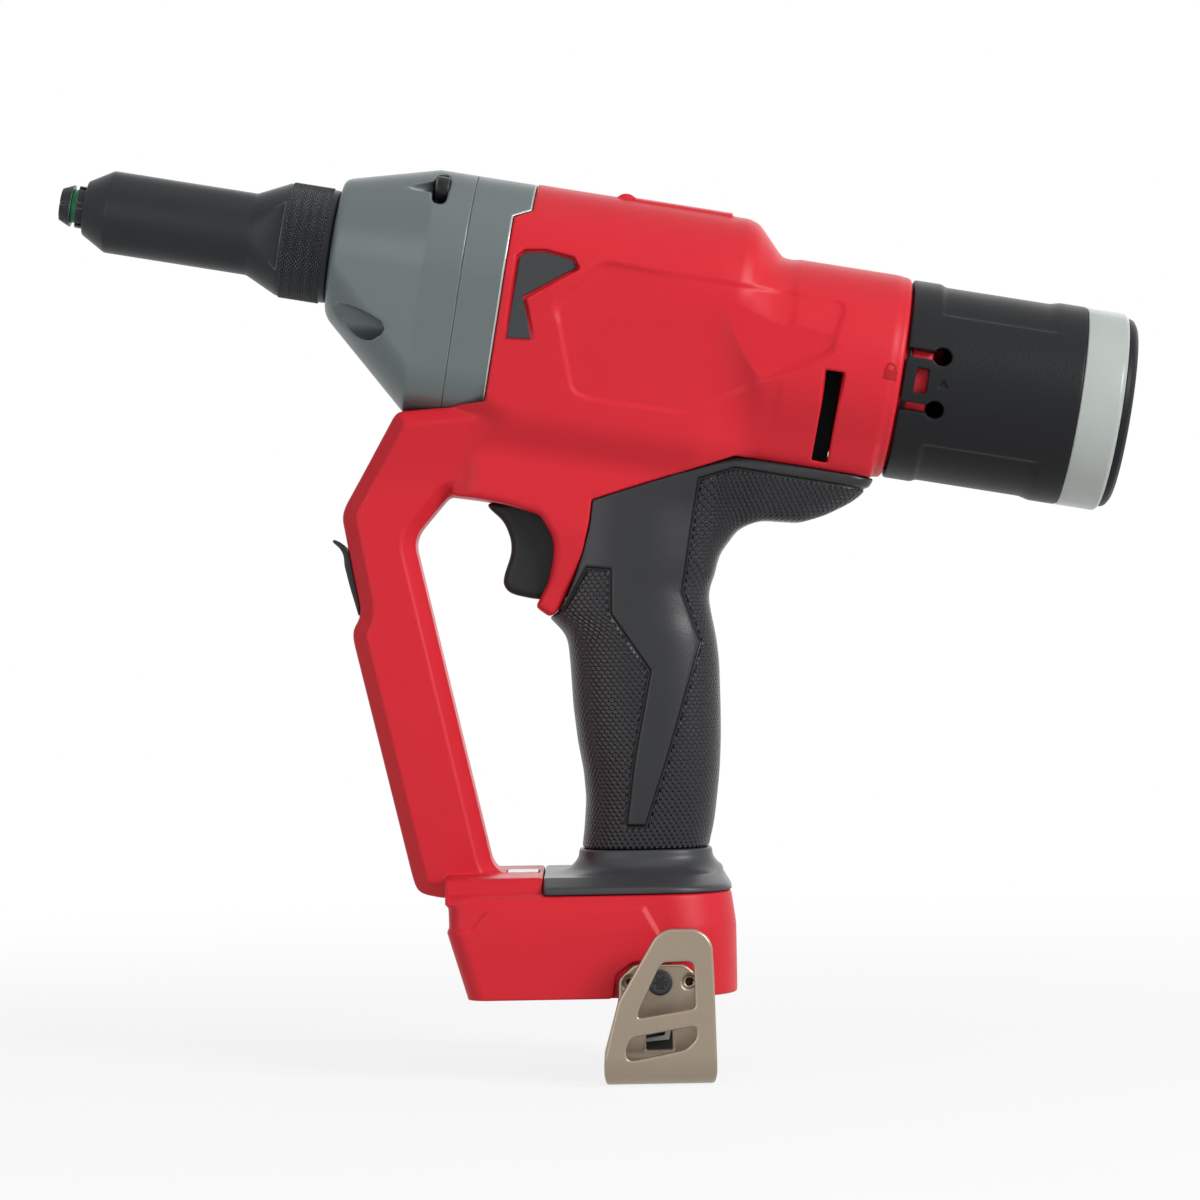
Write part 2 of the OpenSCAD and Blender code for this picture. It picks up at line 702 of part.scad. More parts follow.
// Solid through stacked rings of equal count
module skin(rings) {
    n = len(rings[0]);
    last = len(rings) - 1;
    polyhedron(points = [for (r = rings) each r], faces = concat([[for (i = [0:n - 1]) i]],
        [[for (i = [n - 1:-1:0]) last * n + i]],
        [for (k = [0:last - 1]) for (i = [0:n - 1]) let (j = (i + 1) % n)
            each [[k * n + i, (k + 1) * n + j, k * n + j],
                [k * n + i, (k + 1) * n + i, (k + 1) * n + j]]]));
}

// Slab of an X-Z outline with rounded edges along both sides
module slab(outline, half_w, edge, steps) {
    near = [for (k = [0:steps]) let (a = 90 * k / steps)
        [edge * (1 - sin(a)), -half_w + edge - edge * cos(a)]];
    rows = concat(near, [for (k = [steps:-1:0]) [near[k][0], -near[k][1]]]);
    skin([for (q = rows) let (o = inset(outline, q[0]))
        [for (i = [len(o) - 1:-1:0]) [o[i][0], q[1], o[i][1]]]]);
}

// Helix of round wire along +Z
module coil(r, wire, height, turns) {
    steps = 10 * turns;
    wire_n = 8;
    skin([for (k = [0:steps]) let (a = 360 * turns * k / steps, z = wire + (height - 2 * wire) * k / steps)
        [for (i = [0:wire_n - 1]) let (b = 360 * i / wire_n, q = r + wire * cos(b))
            [q * cos(a), q * sin(a), z + wire * sin(b)]]]);
}

// Case section: barrel round with two lower lobes
module case_section(grow) {
    hull() {
        circle(r = barrel_r + grow, $fn = 2 * round_n);
        for (m = [-1, 1])
            translate([m * case_lobe_y, -case_lobe_drop]) circle(r = case_lobe_r + grow, $fn = round_n);
    }
}

module pod_section(grow) {
    hull() {
        circle(r = barrel_r + grow, $fn = round_n);
        for (m = [-1, 1])
            translate([m * pod_lobe_y, -pod_lobe_drop]) circle(r = pod_lobe_r + grow, $fn = round_n);
    }
}

module keel_section(grow) {
    hull() {
        translate([0, -cup_drop]) circle(r = collar_r + grow, $fn = round_n);
        for (m = [-1, 1])
            translate([m * keel_lobe_y, -keel_lobe_drop]) circle(r = keel_lobe_r + grow, $fn = round_n);
    }
}

// Upper housing form without the grip, arm and foot; grow is negative for the cavity
module upper_form(grow) {
    barrel_frame() {
        hull() {
            section(hump_end_s + grow - slice, slice) circle(r = barrel_r + grow, $fn = round_n);
            section(case_rear_s - blend_step, slice) circle(r = barrel_r + grow, $fn = round_n);
        }
        hull() {
            section(hump_end_s + grow - slice, slice) circle(r = barrel_r + grow, $fn = round_n);
            section(hump_end_s + hump_drop_len / 3 + grow, slice)
                circle(r = barrel_r - hump_drop_len / 6 + grow, $fn = round_n);
        }
        hull() {
            section(hump_end_s + hump_drop_len / 3 + grow, slice)
                circle(r = barrel_r - hump_drop_len / 6 + grow, $fn = round_n);
            section(hump_foot_s + grow, slice)
                circle(r = collar_r - cup_drop + grow, $fn = round_n);
        }
        hull() {
            section(case_rear_s - blend_step, slice) pod_section(grow);
            section(pod_rear_s, slice) pod_section(grow);
        }
        hull() {
            section(pod_rear_s - blend_step, slice) translate([0, -blend_step])
                pod_section(grow - blend_step);
            section(keel_s, slice) keel_section(grow);
        }
        hull() {
            section(keel_s, slice) keel_section(grow);
            section(keel_end_s + grow, slice) keel_section(grow);
        }
    }
}

module collar_form() {
    barrel_frame() hull() {
        rod(keel_s, collar_end_s - keel_s - nose_chamfer, collar_r, cup_drop, $fn = 2 * round_n);
        rod(keel_s, collar_end_s - keel_s, collar_r - nose_chamfer, cup_drop, $fn = 2 * round_n);
    }
}

module cup_spigot() {
    spigot_len = bulkhead_t + cup_spigot_len;
    barrel_frame() hull() {
        rod(bulkhead_s, spigot_len - nose_chamfer, cup_spigot_r, cup_drop, $fn = 2 * round_n);
        rod(bulkhead_s, spigot_len, cup_spigot_r - nose_chamfer, cup_drop, $fn = 2 * round_n);
    }
}

// Region taken by the gear case and cut out of the housing
module case_region() {
    barrel_frame() {
        across(-foot_half_w, foot_half_w) polygon([[case_face_s * 2, barrel_r * 2],
            [case_face_s * 2, -pod_edge_drop], [pod_front_s, -pod_edge_drop],
            [case_rear_s, -pod_edge_rear_drop], [case_rear_s, case_tongue_r - fixed_gap],
            [case_tongue_s, case_tongue_r + case_tongue_rise - fixed_gap],
            [case_tongue_s, barrel_r * 2]]);
        section(case_face_s, case_rear_s - case_face_s + fixed_gap) case_section(fixed_gap);
    }
}

module front_belly() {
    barrel_frame() hull() {
        section(pod_front_s + loose_gap, slice) intersection() {
            pod_section(0);
            translate([-foot_half_w, -2 * foot_half_w])
                square([2 * foot_half_w, 2 * foot_half_w - pod_edge_drop]);
        }
        section(case_rear_s - blend_step, slice) pod_section(0);
    }
}

module top_pad() {
    barrel_frame() {
        hull() for (s = [pad_s, pad_s + pad_len - slice]) section(s, slice) intersection() {
            circle(r = pad_r, $fn = round_n * 2);
            translate([-pad_half_w, 0]) square([2 * pad_half_w, 2 * barrel_r]);
        }
        translate([rib_s, -rib_half_w / 2, barrel_r + rib_proud - rib_r / 2]) rotate([-90, 0, 0])
            cylinder(h = rib_half_w, r = rib_r, $fn = hole_n);
    }
}

module arm_form() {
    slab(placed(arm_shares, arm_front_x, arm_span, arm_base_z, arm_rise), arm_half_w, arm_bevel, 1);
}

module guard_form() {
    slab(placed(guard_shares, guard_x, guard_w, guard_z, guard_h), guard_half_w, guard_edge, 2);
}

module foot_plan(z, front, inset_w) {
    rear = foot_rear_x - inset_w;
    half_w = foot_half_w - foot_panel_t - inset_w;
    translate([0, 0, z]) for (m = [-1, 1]) {
        translate([front + foot_corner_r, m * (half_w - foot_corner_r), 0])
            cylinder(h = slice, r = foot_corner_r, $fn = hole_n);
        translate([rear - foot_rear_r, m * (half_w - foot_rear_r), 0])
            cylinder(h = slice, r = foot_rear_r, $fn = round_n);
    }
}

module foot_form() {
    hull() {
        foot_plan(0, foot_front_x + foot_base_inset, 0);
        foot_plan(foot_waist_z, foot_front_x, 0);
    }
    hull() {
        foot_plan(foot_waist_z, foot_front_x, 0);
        foot_plan(foot_h - slice, foot_front_x, foot_top_inset);
    }
    hull() {
        translate([foot_front_x, -foot_half_w + 2 * foot_top_inset, foot_h - over])
            cube([deck_rear_x - foot_front_x, 2 * foot_half_w - 4 * foot_top_inset, slice]);
        translate([deck_front_x + foot_top_inset, -deck_half_w, deck_z - slice])
            cube([deck_rear_x - deck_front_x - foot_top_inset, 2 * deck_half_w, slice]);
    }
    for (m = [-1, 1]) scale([1, m, 1]) across(-foot_half_w, -foot_half_w + 2 * foot_panel_t)
        polygon(placed(foot_panel_shares, foot_panel_x, foot_panel_len, 0, foot_panel_h));
}

module grip_column(t) {
    for (k = [0:len(grip_shares) - 2]) hull() skin([for (row = [k, k + 1]) grip_ring(grip_shares[row], t)]);
}

module grip_tail(t) {
    o = placed(tail_shares, tail_x, tail_len, tail_z, tail_h);
    slab(inset(o, t), tail_half_w - t, tail_edge - t, 4);
}

module rubber_region() {
    across(-foot_half_w, foot_half_w)
        polygon(placed(rubber_shares, grip_front_x, grip_depth, grip_base_z, grip_rise));
}

module trigger_outline(grow) {
    offset(delta = grow) polygon(placed(trigger_shares, trigger_x, trigger_w, trigger_z, trigger_h));
}

// Room that the trigger sweeps, with clearance
module trigger_room() {
    across(-trigger_half_w - loose_gap, trigger_half_w + loose_gap) hull() {
        trigger_outline(loose_gap);
        translate([trigger_travel * cos(barrel_tilt), -trigger_travel * sin(barrel_tilt)])
            trigger_outline(loose_gap);
    }
}

module plunger_frame() {
    translate([plunger_x, 0, plunger_z]) rotate([0, barrel_tilt, 0]) children();
}

module switch_form(grow) {
    plunger_frame() translate([trigger_spring_len - grow, -switch_half_w - grow, -switch_h / 2 - grow])
        cube([switch_len + 2 * grow, 2 * (switch_half_w + grow), switch_h + 2 * grow]);
}

// Plate in the middle plane behind the vents, seated in a groove of both halves
module baffle_form(grow) {
    low = -keel_lobe_drop - keel_lobe_r + shell_wall - baffle_seat;
    barrel_frame() translate([vent_s - baffle_lead - grow, -baffle_t / 2 - grow, low - grow])
        cube([baffle_len + 2 * grow, baffle_t + 2 * grow, baffle_top - low + 2 * grow]);
}

// Hollow of the housing: bays for drive, motor, switch, board and cup tube
module housing_bays() {
    barrel_frame() {
        rod(case_rear_s - over, hump_end_s - case_rear_s, barrel_r - shell_wall, $fn = round_n * 2);
        hull() {
            section(case_rear_s - blend_step, slice) pod_section(-shell_wall);
            section(pod_rear_s, slice) pod_section(-shell_wall);
        }
        hull() {
            section(pod_rear_s - blend_step, slice) translate([0, -blend_step])
                pod_section(-shell_wall - blend_step);
            section(keel_s, slice) keel_section(-shell_wall);
        }
        hull() {
            section(keel_s - blend_step, slice) keel_section(-shell_wall);
            section(bulkhead_s, slice) translate([0, -cup_drop])
                circle(r = collar_r - shell_wall, $fn = round_n);
        }
        rod(case_rear_s - over, bearing_s - case_rear_s + over, motor_bay_r, motor_drop, $fn = round_n);
        rod(bearing_s - over, bearing_len + over, bearing_r + fixed_gap, motor_drop, $fn = round_n);
        rod(bulkhead_s - over, bulkhead_t + cup_spigot_len + 2 * over, guide_r + fixed_gap, $fn = hole_n);
        rod(collar_end_s, cup_spigot_len + over, cup_spigot_r - cup_web_t, cup_drop, $fn = round_n);
    }
    translate([grip_bay_x, -grip_bay_half_w, bay_top_z - over])
        cube([grip_bay_len, 2 * grip_bay_half_w, grip_bay_top - bay_top_z]);
    trigger_room();
    switch_form(fixed_gap);
    plunger_frame() rotate([0, 90, 0])
        cylinder(h = trigger_spring_len + over, r = trigger_spring_r + spring_room, $fn = hole_n);
    translate([bay_front_x, -bay_half_w, rail_t])
        cube([bay_rear_x - bay_front_x, 2 * bay_half_w, bay_top_z - rail_t]);
    translate([foot_front_x - over, -rail_half_w, -over])
        cube([bay_rear_x - foot_front_x + over, 2 * rail_half_w, rail_t + 2 * over]);
    translate([led_x - led_len, -led_half_w - fixed_gap, led_z - fixed_gap])
        cube([2 * led_len + fixed_gap, 2 * (led_half_w + fixed_gap), led_h + 2 * fixed_gap]);
    translate([status_x - fixed_gap, -status_half_w - fixed_gap, deck_z - status_t])
        cube([status_len + 2 * fixed_gap, 2 * (status_half_w + fixed_gap), status_t + over]);
}

// Posts and screw bosses that stand inside the hollow
module housing_posts() {
    for (p = boss_places) translate([p[0], 0, p[1]]) rotate([90, 0, 0])
        cylinder(h = 2 * boss_half_len, r = boss_r, center = true, $fn = hole_n);
    for (m = [-1, 1]) translate([hook_screw_x, m * hook_seat_y, hook_screw_z]) rotate([m * 90, 0, 0])
        cylinder(h = insert_len + over, r = insert_boss_r, $fn = hole_n);
    for (x = [board_x + 2 * board_post_r, board_x + board_len - 2 * board_post_r])
        for (m = [-1, 1]) translate([x, m * (board_half_w - 2 * board_post_r), board_z + board_t])
            cylinder(h = bay_top_z - board_z, r = board_post_r, $fn = hole_n);
}

module screw_holes() {
    for (p = boss_places) translate([p[0], 0, p[1]]) rotate([90, 0, 0]) {
        cylinder(h = 2 * (screw_reach + over), r = screw_hole_r, center = true, $fn = hole_n);
        translate([0, 0, -screw_reach - 2 * foot_half_w])
            cylinder(h = 2 * foot_half_w, r = screw_head_r + 2 * fixed_gap, $fn = hole_n);
    }
}

// Cuts made last: vents, side panels, inlays, hook seats, baffle groove and screw holes
module housing_cuts() {
    for (m = [-1, 1]) scale([1, m, 1]) {
        barrel_frame() {
            hull() {
                translate([vent_s, -barrel_r * 2, vent_low]) cube([vent_w, slice, vent_top - vent_low]);
                translate([vent_s, -motor_bay_r / 2, vent_low]) cube([vent_w, slice, vent_top - vent_low]);
            }
            translate([panel_s, -panel_y, panel_top - panel_h])
                rotate([0, 0, -atan((panel_rear_y - panel_y) / panel_len)])
                across(-barrel_r, 0)
                polygon(softened(placed(panel_shares, 0, panel_len, 0, panel_h), panel_corner, 3));
            across(-barrel_r * 2, -inlay_y + inlay_t) offset(delta = inlay_gap)
                polygon(placed(inlay_shares, inlay_s, inlay_len, inlay_low, inlay_h));
        }
        across(-foot_half_w - over, -hook_seat_y) offset(delta = hook_recess_gap)
            polygon(placed(hook_base_shares, hook_x, hook_w, -hook_base_rise, 2 * hook_base_rise));
        translate([hook_screw_x, -hook_seat_y - over, hook_screw_z]) rotate([-90, 0, 0])
            cylinder(h = insert_len + over, r = insert_r + fixed_gap, $fn = hole_n);
    }
    baffle_form(run_gap);
    screw_holes();
}

module housing_half(side) {
    difference() {
        union() {
            difference() {
                union() {
                    difference() {
                        union() {
                            upper_form(0);
                            collar_form();
                            front_belly();
                            top_pad();
                            guard_form();
                            arm_form();
                            foot_form();
                        }
                        rubber_region();
                        case_region();
                        translate([0, 0, foot_h]) linear_extrude(grip_base_z - foot_h + over)
                            translate([deck_rear_x, -foot_half_w])
                            square([foot_rear_x - deck_rear_x + over, 2 * foot_half_w]);
                    }
                    grip_column(rubber_t);
                    grip_tail(rubber_t);
                    cup_spigot();
                }
                housing_bays();
            }
            intersection() {
                union() {
                    upper_form(-blend_step);
                    arm_form();
                    foot_form();
                    grip_column(rubber_t);
                    grip_tail(rubber_t);
                }
                difference() {
                    housing_posts();
                    barrel_frame()
                        rod(case_rear_s - over, bearing_s - case_rear_s, motor_bay_r, motor_drop);
                }
            }
        }
        housing_cuts();
        translate([-barrel_z, side < 0 ? 0 : -barrel_z, -barrel_z])
            cube([2 * barrel_z, barrel_z, 3 * barrel_z]);
    }
}

module left_housing() color([0.80, 0.13, 0.16]) housing_half(-1);

module right_housing() color([0.80, 0.13, 0.16]) housing_half(1);

module housing_screws() color([0.16, 0.16, 0.17])
    for (p = boss_places) translate([p[0], screw_reach, p[1]]) rotate([90, 0, 0]) {
        translate([0, 0, -screw_head_t]) difference() {
            cylinder(h = screw_head_t, r = screw_head_r);
            translate([0, 0, -over]) cylinder(h = screw_head_t / 2 + over, r = screw_shank_r, $fn = 6);
        }
        cylinder(h = 2 * screw_reach, r = screw_shank_r);
    }

module rubber_half(side) {
    difference() {
        intersection() {
            union() {
                grip_column(0);
                grip_tail(0);
            }
            rubber_region();
            translate([-barrel_z, side < 0 ? -barrel_z : 0, grip_base_z])
                cube([2 * barrel_z, barrel_z, barrel_z]);
        }
        grip_column(rubber_t);
        grip_tail(rubber_t);
        barrel_frame()
            rod(case_rear_s - over, bearing_s - case_rear_s + over, motor_bay_r, motor_drop, $fn = round_n);
        trigger_room();
        screw_holes();
    }
}

module left_grip() color([0.13, 0.13, 0.14]) rubber_half(-1);

module right_grip() color([0.13, 0.13, 0.14]) rubber_half(1);

module grip_boot() color([0.10, 0.10, 0.11]) difference() {
    skin([for (row = boot_shares) boot_ring(row)]);
    skin([for (row = grip_shares) grip_ring(row, rubber_t)]);
}

module case_top_places() {
    for (m = [-1, 1]) scale([1, m, 1])
        translate([case_screw_top_s, case_screw_top_y, case_screw_top]) children();
}

module case_low_places() {
    for (m = [-1, 1]) scale([1, m, 1])
        translate([case_screw_low_s, case_screw_low_y, case_screw_low]) children();
}

module case_screw_places() {
    case_top_places() rotate([0, 90, 0]) children();
    case_low_places() rotate([0, 90, 0]) children();
}

module gearcase_front() color([0.42, 0.45, 0.45]) barrel_frame() difference() {
    hull() {
        rod(case_face_s, slice, case_face_r - case_corner_r, $fn = 2 * round_n);
        rod(case_face_s + case_corner_r, slice, case_face_r, $fn = 2 * round_n);
        section(case_shoulder_s, case_joint_s - case_shoulder_s) case_section(0);
    }
    rod(thrust_s, case_front_len, case_bore_r);
    rod(case_face_s - over, case_front_len, nose_spigot_r + fixed_gap);
    case_screw_places() cylinder(h = case_front_len, r = case_screw_r + fixed_gap);
    case_low_places() translate([-case_front_len, 0, 0]) rotate([0, 90, 0])
        cylinder(h = case_front_len + case_screw_head_len, r = case_pocket_r);
    case_top_places() {
        translate([-case_slot_lead, 0, 0]) rotate([0, 90, 0])
            cylinder(h = case_slot_lead + case_screw_head_len, r = case_pocket_r);
        translate([-case_slot_lead, 0, -case_pocket_r])
            cube([case_slot_lead + case_screw_head_len, case_slot_reach, 2 * case_pocket_r]);
        translate([-case_groove_len, case_groove_out, 0]) rotate([0, 90, 0])
            cylinder(h = case_groove_len, r1 = case_groove_tip_r, r2 = case_groove_r);
    }
}

module gearcase_rear() color([0.40, 0.43, 0.43]) barrel_frame() difference() {
    union() {
        difference() {
            section(case_joint_s, case_tongue_s - case_joint_s) case_section(0);
            across(-foot_half_w, foot_half_w) polygon([[case_rear_s, case_tongue_r],
                [case_rear_s, -2 * foot_half_w], [case_tongue_s + over, -2 * foot_half_w],
                [case_tongue_s + over, case_tongue_r + case_tongue_rise],
                [case_tongue_s, case_tongue_r + case_tongue_rise]]);
        }
        rod(case_rear_s - over, case_spigot_len + over, case_spigot_r);
    }
    rod(case_joint_s - over, nut_bearing_len + over, case_seat_r + run_gap);
    rod(case_joint_s, case_spigot_len + case_back_len + over, case_seat_r - case_spigot_wall);
    rod(case_rear_s, case_spigot_len + over, case_spigot_r - case_spigot_wall);
    case_screw_places()
        cylinder(h = case_screw_len + case_screw_head_len + over, r = case_screw_r + fixed_gap);
}

module gearcase_screws() color([0.07, 0.07, 0.08]) barrel_frame() case_screw_places() difference() {
    union() {
        cylinder(h = case_screw_head_len, r = case_screw_head_r);
        cylinder(h = case_screw_len + case_screw_head_len, r = case_screw_r);
    }
    translate([0, 0, -over])
        cylinder(h = case_screw_head_len / 2 + over, r = case_screw_head_r / 2, $fn = 6);
}

module side_inlays() color([0.26, 0.27, 0.28]) barrel_frame() for (m = [-1, 1]) scale([1, m, 1])
    across(-inlay_y, -inlay_y + inlay_t)
        polygon(placed(inlay_shares, inlay_s, inlay_len, inlay_low, inlay_h));

module nose_housing() color([0.13, 0.14, 0.15]) barrel_frame() difference() {
    turned([[nose_bore_r, case_face_s + nose_spigot_len], [nose_spigot_r, case_face_s + nose_spigot_len],
        [nose_spigot_r, case_face_s], [nose_collar_r - nose_chamfer, case_face_s],
        [nose_collar_r, case_face_s - nose_chamfer], [nose_collar_r, nose_collar_s],
        [nose_tube_r, nose_flare_s], [nose_tube_r, nose_tube_s], [nose_cone_r, nose_front_s],
        [nosepiece_thread_r + run_gap, nose_front_s],
        [nosepiece_thread_r + run_gap, nose_front_s + nose_wall_len],
        [nose_bore_r, nose_front_s + nose_wall_len]]);
    for (m = [-1, 1])
        translate([nose_flare_s - over, m * (nose_flat_y + nose_collar_r) - nose_collar_r, -nose_collar_r])
            cube([nose_flare_len + over, 2 * nose_collar_r, 2 * nose_collar_r]);
}

module nosepiece() color([0.17, 0.18, 0.19]) barrel_frame() difference() {
    turned([[mandrel_bore_r, nosepiece_face_s], [nosepiece_face_r, nosepiece_face_s],
        [nosepiece_tip_r, nosepiece_neck_s], [nosepiece_neck_r, nosepiece_neck_s],
        [nosepiece_neck_r, nosepiece_flange_s], [nosepiece_flange_r, nosepiece_flange_s],
        [nosepiece_flange_r, nose_front_s], [nosepiece_thread_r, nose_front_s],
        [nosepiece_thread_r, nose_front_s + nose_wall_len],
        [mandrel_bore_r, nose_front_s + nose_wall_len]]);
    for (k = [0:nosepiece_notch_n - 1]) rotate([360 * (k + 0.5) / nosepiece_notch_n, 0, 0]) {
        translate([nosepiece_flange_s - over / 2, -nosepiece_notch_w / 2,
            nosepiece_flange_r - nosepiece_notch_depth])
            cube([nosepiece_flange_len + over / 2, nosepiece_notch_w, nosepiece_flange_r]);
        translate([nosepiece_face_s - over, -nosepiece_slot_w / 2,
            nosepiece_face_r - nosepiece_slot_depth / 2])
            cube([nosepiece_slot_depth + over, nosepiece_slot_w, nosepiece_tip_r]);
    }
}

module nosepiece_ring() color([0.05, 0.50, 0.30]) barrel_frame() rotate([0, 90, 0])
    translate([0, 0, nosepiece_neck_s + run_gap]) difference() {
        cylinder(h = nosepiece_ring_len - 2 * run_gap, r = nosepiece_ring_r);
        translate([0, 0, -over])
            cylinder(h = nosepiece_ring_len + 2 * over, r = nosepiece_neck_r + run_gap);
    }

module led_lens() color([0.20, 0.20, 0.22, 0.8]) across(-lens_half_w, lens_half_w) difference() {
    polygon(placed(lens_shares, lens_x, lens_w, lens_z, lens_h));
    offset(delta = run_gap) polygon(placed(arm_shares, arm_front_x, arm_span, arm_base_z, arm_rise));
}

module led_module() color([0.90, 0.88, 0.70]) translate([led_x, -led_half_w, led_z])
    cube([led_len, 2 * led_half_w, led_h]);

module status_light() color([0.80, 0.80, 0.78]) translate([status_x, -status_half_w, deck_z - status_t])
    cube([status_len, 2 * status_half_w, status_t + status_proud]);

module trigger() color([0.09, 0.09, 0.10]) union() {
    slab(placed(trigger_shares, trigger_x, trigger_w, trigger_z, trigger_h),
        trigger_half_w, trigger_edge, 3);
    plunger_frame() translate([-over, 0, 0]) rotate([0, 90, 0])
        cylinder(h = plunger_len + over, r = plunger_r);
}

module trigger_spring() color([0.70, 0.70, 0.72]) plunger_frame() rotate([0, 90, 0])
    translate([0, 0, 2 * trigger_wire_r])
        coil(trigger_spring_r, trigger_wire_r, trigger_spring_len + trigger_spring_sink - 2 * trigger_wire_r,
            trigger_turns);

module air_baffle() color([0.12, 0.12, 0.13]) baffle_form(0);

module trigger_switch() color([0.12, 0.12, 0.13]) difference() {
    switch_form(0);
    plunger_frame() rotate([0, 90, 0]) {
        cylinder(h = plunger_len + trigger_travel + over, r = plunger_r + loose_gap);
        cylinder(h = trigger_spring_len + trigger_spring_sink,
            r = trigger_spring_r + trigger_wire_r + loose_gap);
    }
}

module control_board() color([0.07, 0.30, 0.16]) {
    translate([board_x, -board_half_w, board_z]) cube([board_len, 2 * board_half_w, board_t]);
    for (m = [-1, 1])
        translate([board_x + board_part_len, m * board_half_w / 2 - board_part_half_w,
            board_z - board_part_h])
            cube([board_part_len, 2 * board_part_half_w, board_part_h]);
}

module motor_stator() color([0.35, 0.30, 0.26]) barrel_frame() difference() {
    rod(stator_s, stator_len, stator_r, motor_drop);
    rod(stator_s - over, stator_len + 2 * over, stator_bore_r, motor_drop);
    translate([0, 0, -motor_drop]) for (k = [0:stator_slots - 1]) rotate([360 * k / stator_slots, 0, 0])
        translate([stator_s - over, -stator_slot_w / 2, stator_bore_r + stator_lip])
            cube([stator_len + 2 * over, stator_slot_w, stator_slot_depth - stator_lip]);
}

module motor_rotor() color([0.55, 0.56, 0.58]) barrel_frame() {
    rod(stator_s + rotor_inset, stator_len - 2 * rotor_inset, rotor_r, motor_drop);
    rod(stator_s - rotor_front_len, bearing_s + bearing_len - stator_s + rotor_front_len,
        rotor_shaft_r, motor_drop);
}

module motor_fan() color([0.15, 0.15, 0.16]) barrel_frame() difference() {
    union() {
        rod(fan_s, fan_len, fan_hub_r, motor_drop);
        rod(fan_s, fan_blade_t, fan_r, motor_drop);
        translate([0, 0, -motor_drop]) for (k = [0:fan_blades - 1]) rotate([360 * k / fan_blades, 0, 0])
            translate([fan_s + fan_blade_t / 2, -fan_blade_t / 2, fan_hub_r - over])
                cube([fan_len - fan_blade_t / 2, fan_blade_t, fan_r - fan_hub_r]);
    }
    rod(fan_s - over, fan_len + 2 * over, rotor_shaft_r, motor_drop);
}

module motor_bearing() color([0.66, 0.67, 0.69]) barrel_frame() difference() {
    rod(bearing_s, bearing_len, bearing_r, motor_drop);
    rod(bearing_s - over, bearing_len + 2 * over, rotor_shaft_r + run_gap, motor_drop);
}

module reduction_unit() color([0.46, 0.47, 0.49]) barrel_frame() difference() {
    union() {
        rod(unit_s, unit_len, unit_r, motor_drop);
        translate([unit_s, 0, -motor_drop]) intersection() {
            rod(0, unit_lug_t, motor_bay_r - run_gap);
            translate([0, -motor_bay_r, -pod_lobe_r / 2]) cube([unit_lug_t, 2 * motor_bay_r, pod_lobe_r]);
        }
    }
    rod(unit_s - over, pinion_shaft_len, pinion_shaft_r + run_gap, motor_drop);
    rod(unit_s + unit_len - rotor_front_len, rotor_front_len + over, rotor_shaft_r + run_gap, motor_drop);
    rod(unit_s - over, 2 * over + idler_pin_tail, idler_bore_r, idler_drop, idler_y);
}

module gear(s, len, teeth, turn, drop, y) {
    translate([s, y, -drop]) rotate([90, 0, 90]) linear_extrude(len) polygon(gear_outline(teeth, turn));
}

module output_pinion() color([0.60, 0.61, 0.63]) barrel_frame() {
    gear(nut_gear_s, nut_gear_len, pinion_teeth, pinion_turn, motor_drop, 0);
    rod(nut_gear_s + nut_gear_len - over, pinion_shaft_len - over, pinion_shaft_r, motor_drop);
}

module idler_gear() color([0.62, 0.62, 0.60]) barrel_frame() difference() {
    gear(nut_gear_s, nut_gear_len, idler_teeth, idler_turn, idler_drop, idler_y);
    rod(nut_gear_s - over, nut_gear_len + 2 * over, idler_bore_r + run_gap, idler_drop, idler_y);
}

module idler_pin() color([0.70, 0.71, 0.73]) barrel_frame()
    rod(nut_gear_s - idler_pin_tail, nut_gear_len + gear_side_gap + 2 * idler_pin_tail,
        idler_bore_r, idler_drop, idler_y);

module thrust_bearing() color([0.66, 0.67, 0.69]) barrel_frame() difference() {
    rod(thrust_s, thrust_len, thrust_r);
    rod(thrust_s - over, thrust_len + 2 * over, thrust_bore_r);
}

module nut_bearing() color([0.66, 0.67, 0.69]) barrel_frame() difference() {
    rod(case_joint_s, nut_bearing_len, case_seat_r);
    rod(case_joint_s - over, nut_bearing_len + 2 * over, nut_r + run_gap);
}

module drive_nut() color([0.58, 0.57, 0.54]) barrel_frame() difference() {
    union() {
        rod(nut_front_s, nut_rear_s - nut_front_s, nut_r);
        rod(nut_front_s, nut_flange_len, nut_flange_r);
        gear(nut_gear_s, nut_gear_len, nut_teeth, nut_turn, 0, 0);
    }
    rod(nut_front_s - over, nut_rear_s - nut_front_s + 2 * over, screw_r + run_gap);
}

module pull_screw() color([0.64, 0.65, 0.67]) barrel_frame() difference() {
    rod(jaw_case_end_s, screw_rear_s - jaw_case_end_s, screw_r);
    rod(jaw_case_end_s - over, screw_rear_s - jaw_case_end_s + 2 * over, screw_bore_r);
}

module jaw_case() color([0.50, 0.51, 0.53]) barrel_frame() turned([[jaw_case_mouth_r, jaw_case_s],
    [jaw_case_r, jaw_case_s], [jaw_case_r, jaw_case_end_s], [screw_bore_r, jaw_case_end_s],
    [screw_bore_r, jaw_case_end_s - jaw_end_len], [jaw_case_bore_r, jaw_case_end_s - jaw_end_len],
    [jaw_case_bore_r, jaw_case_s + jaw_lip_len + jaw_cone_len], [jaw_cone_r, jaw_case_s + jaw_lip_len],
    [jaw_case_mouth_r, jaw_case_s + jaw_lip_len]]);

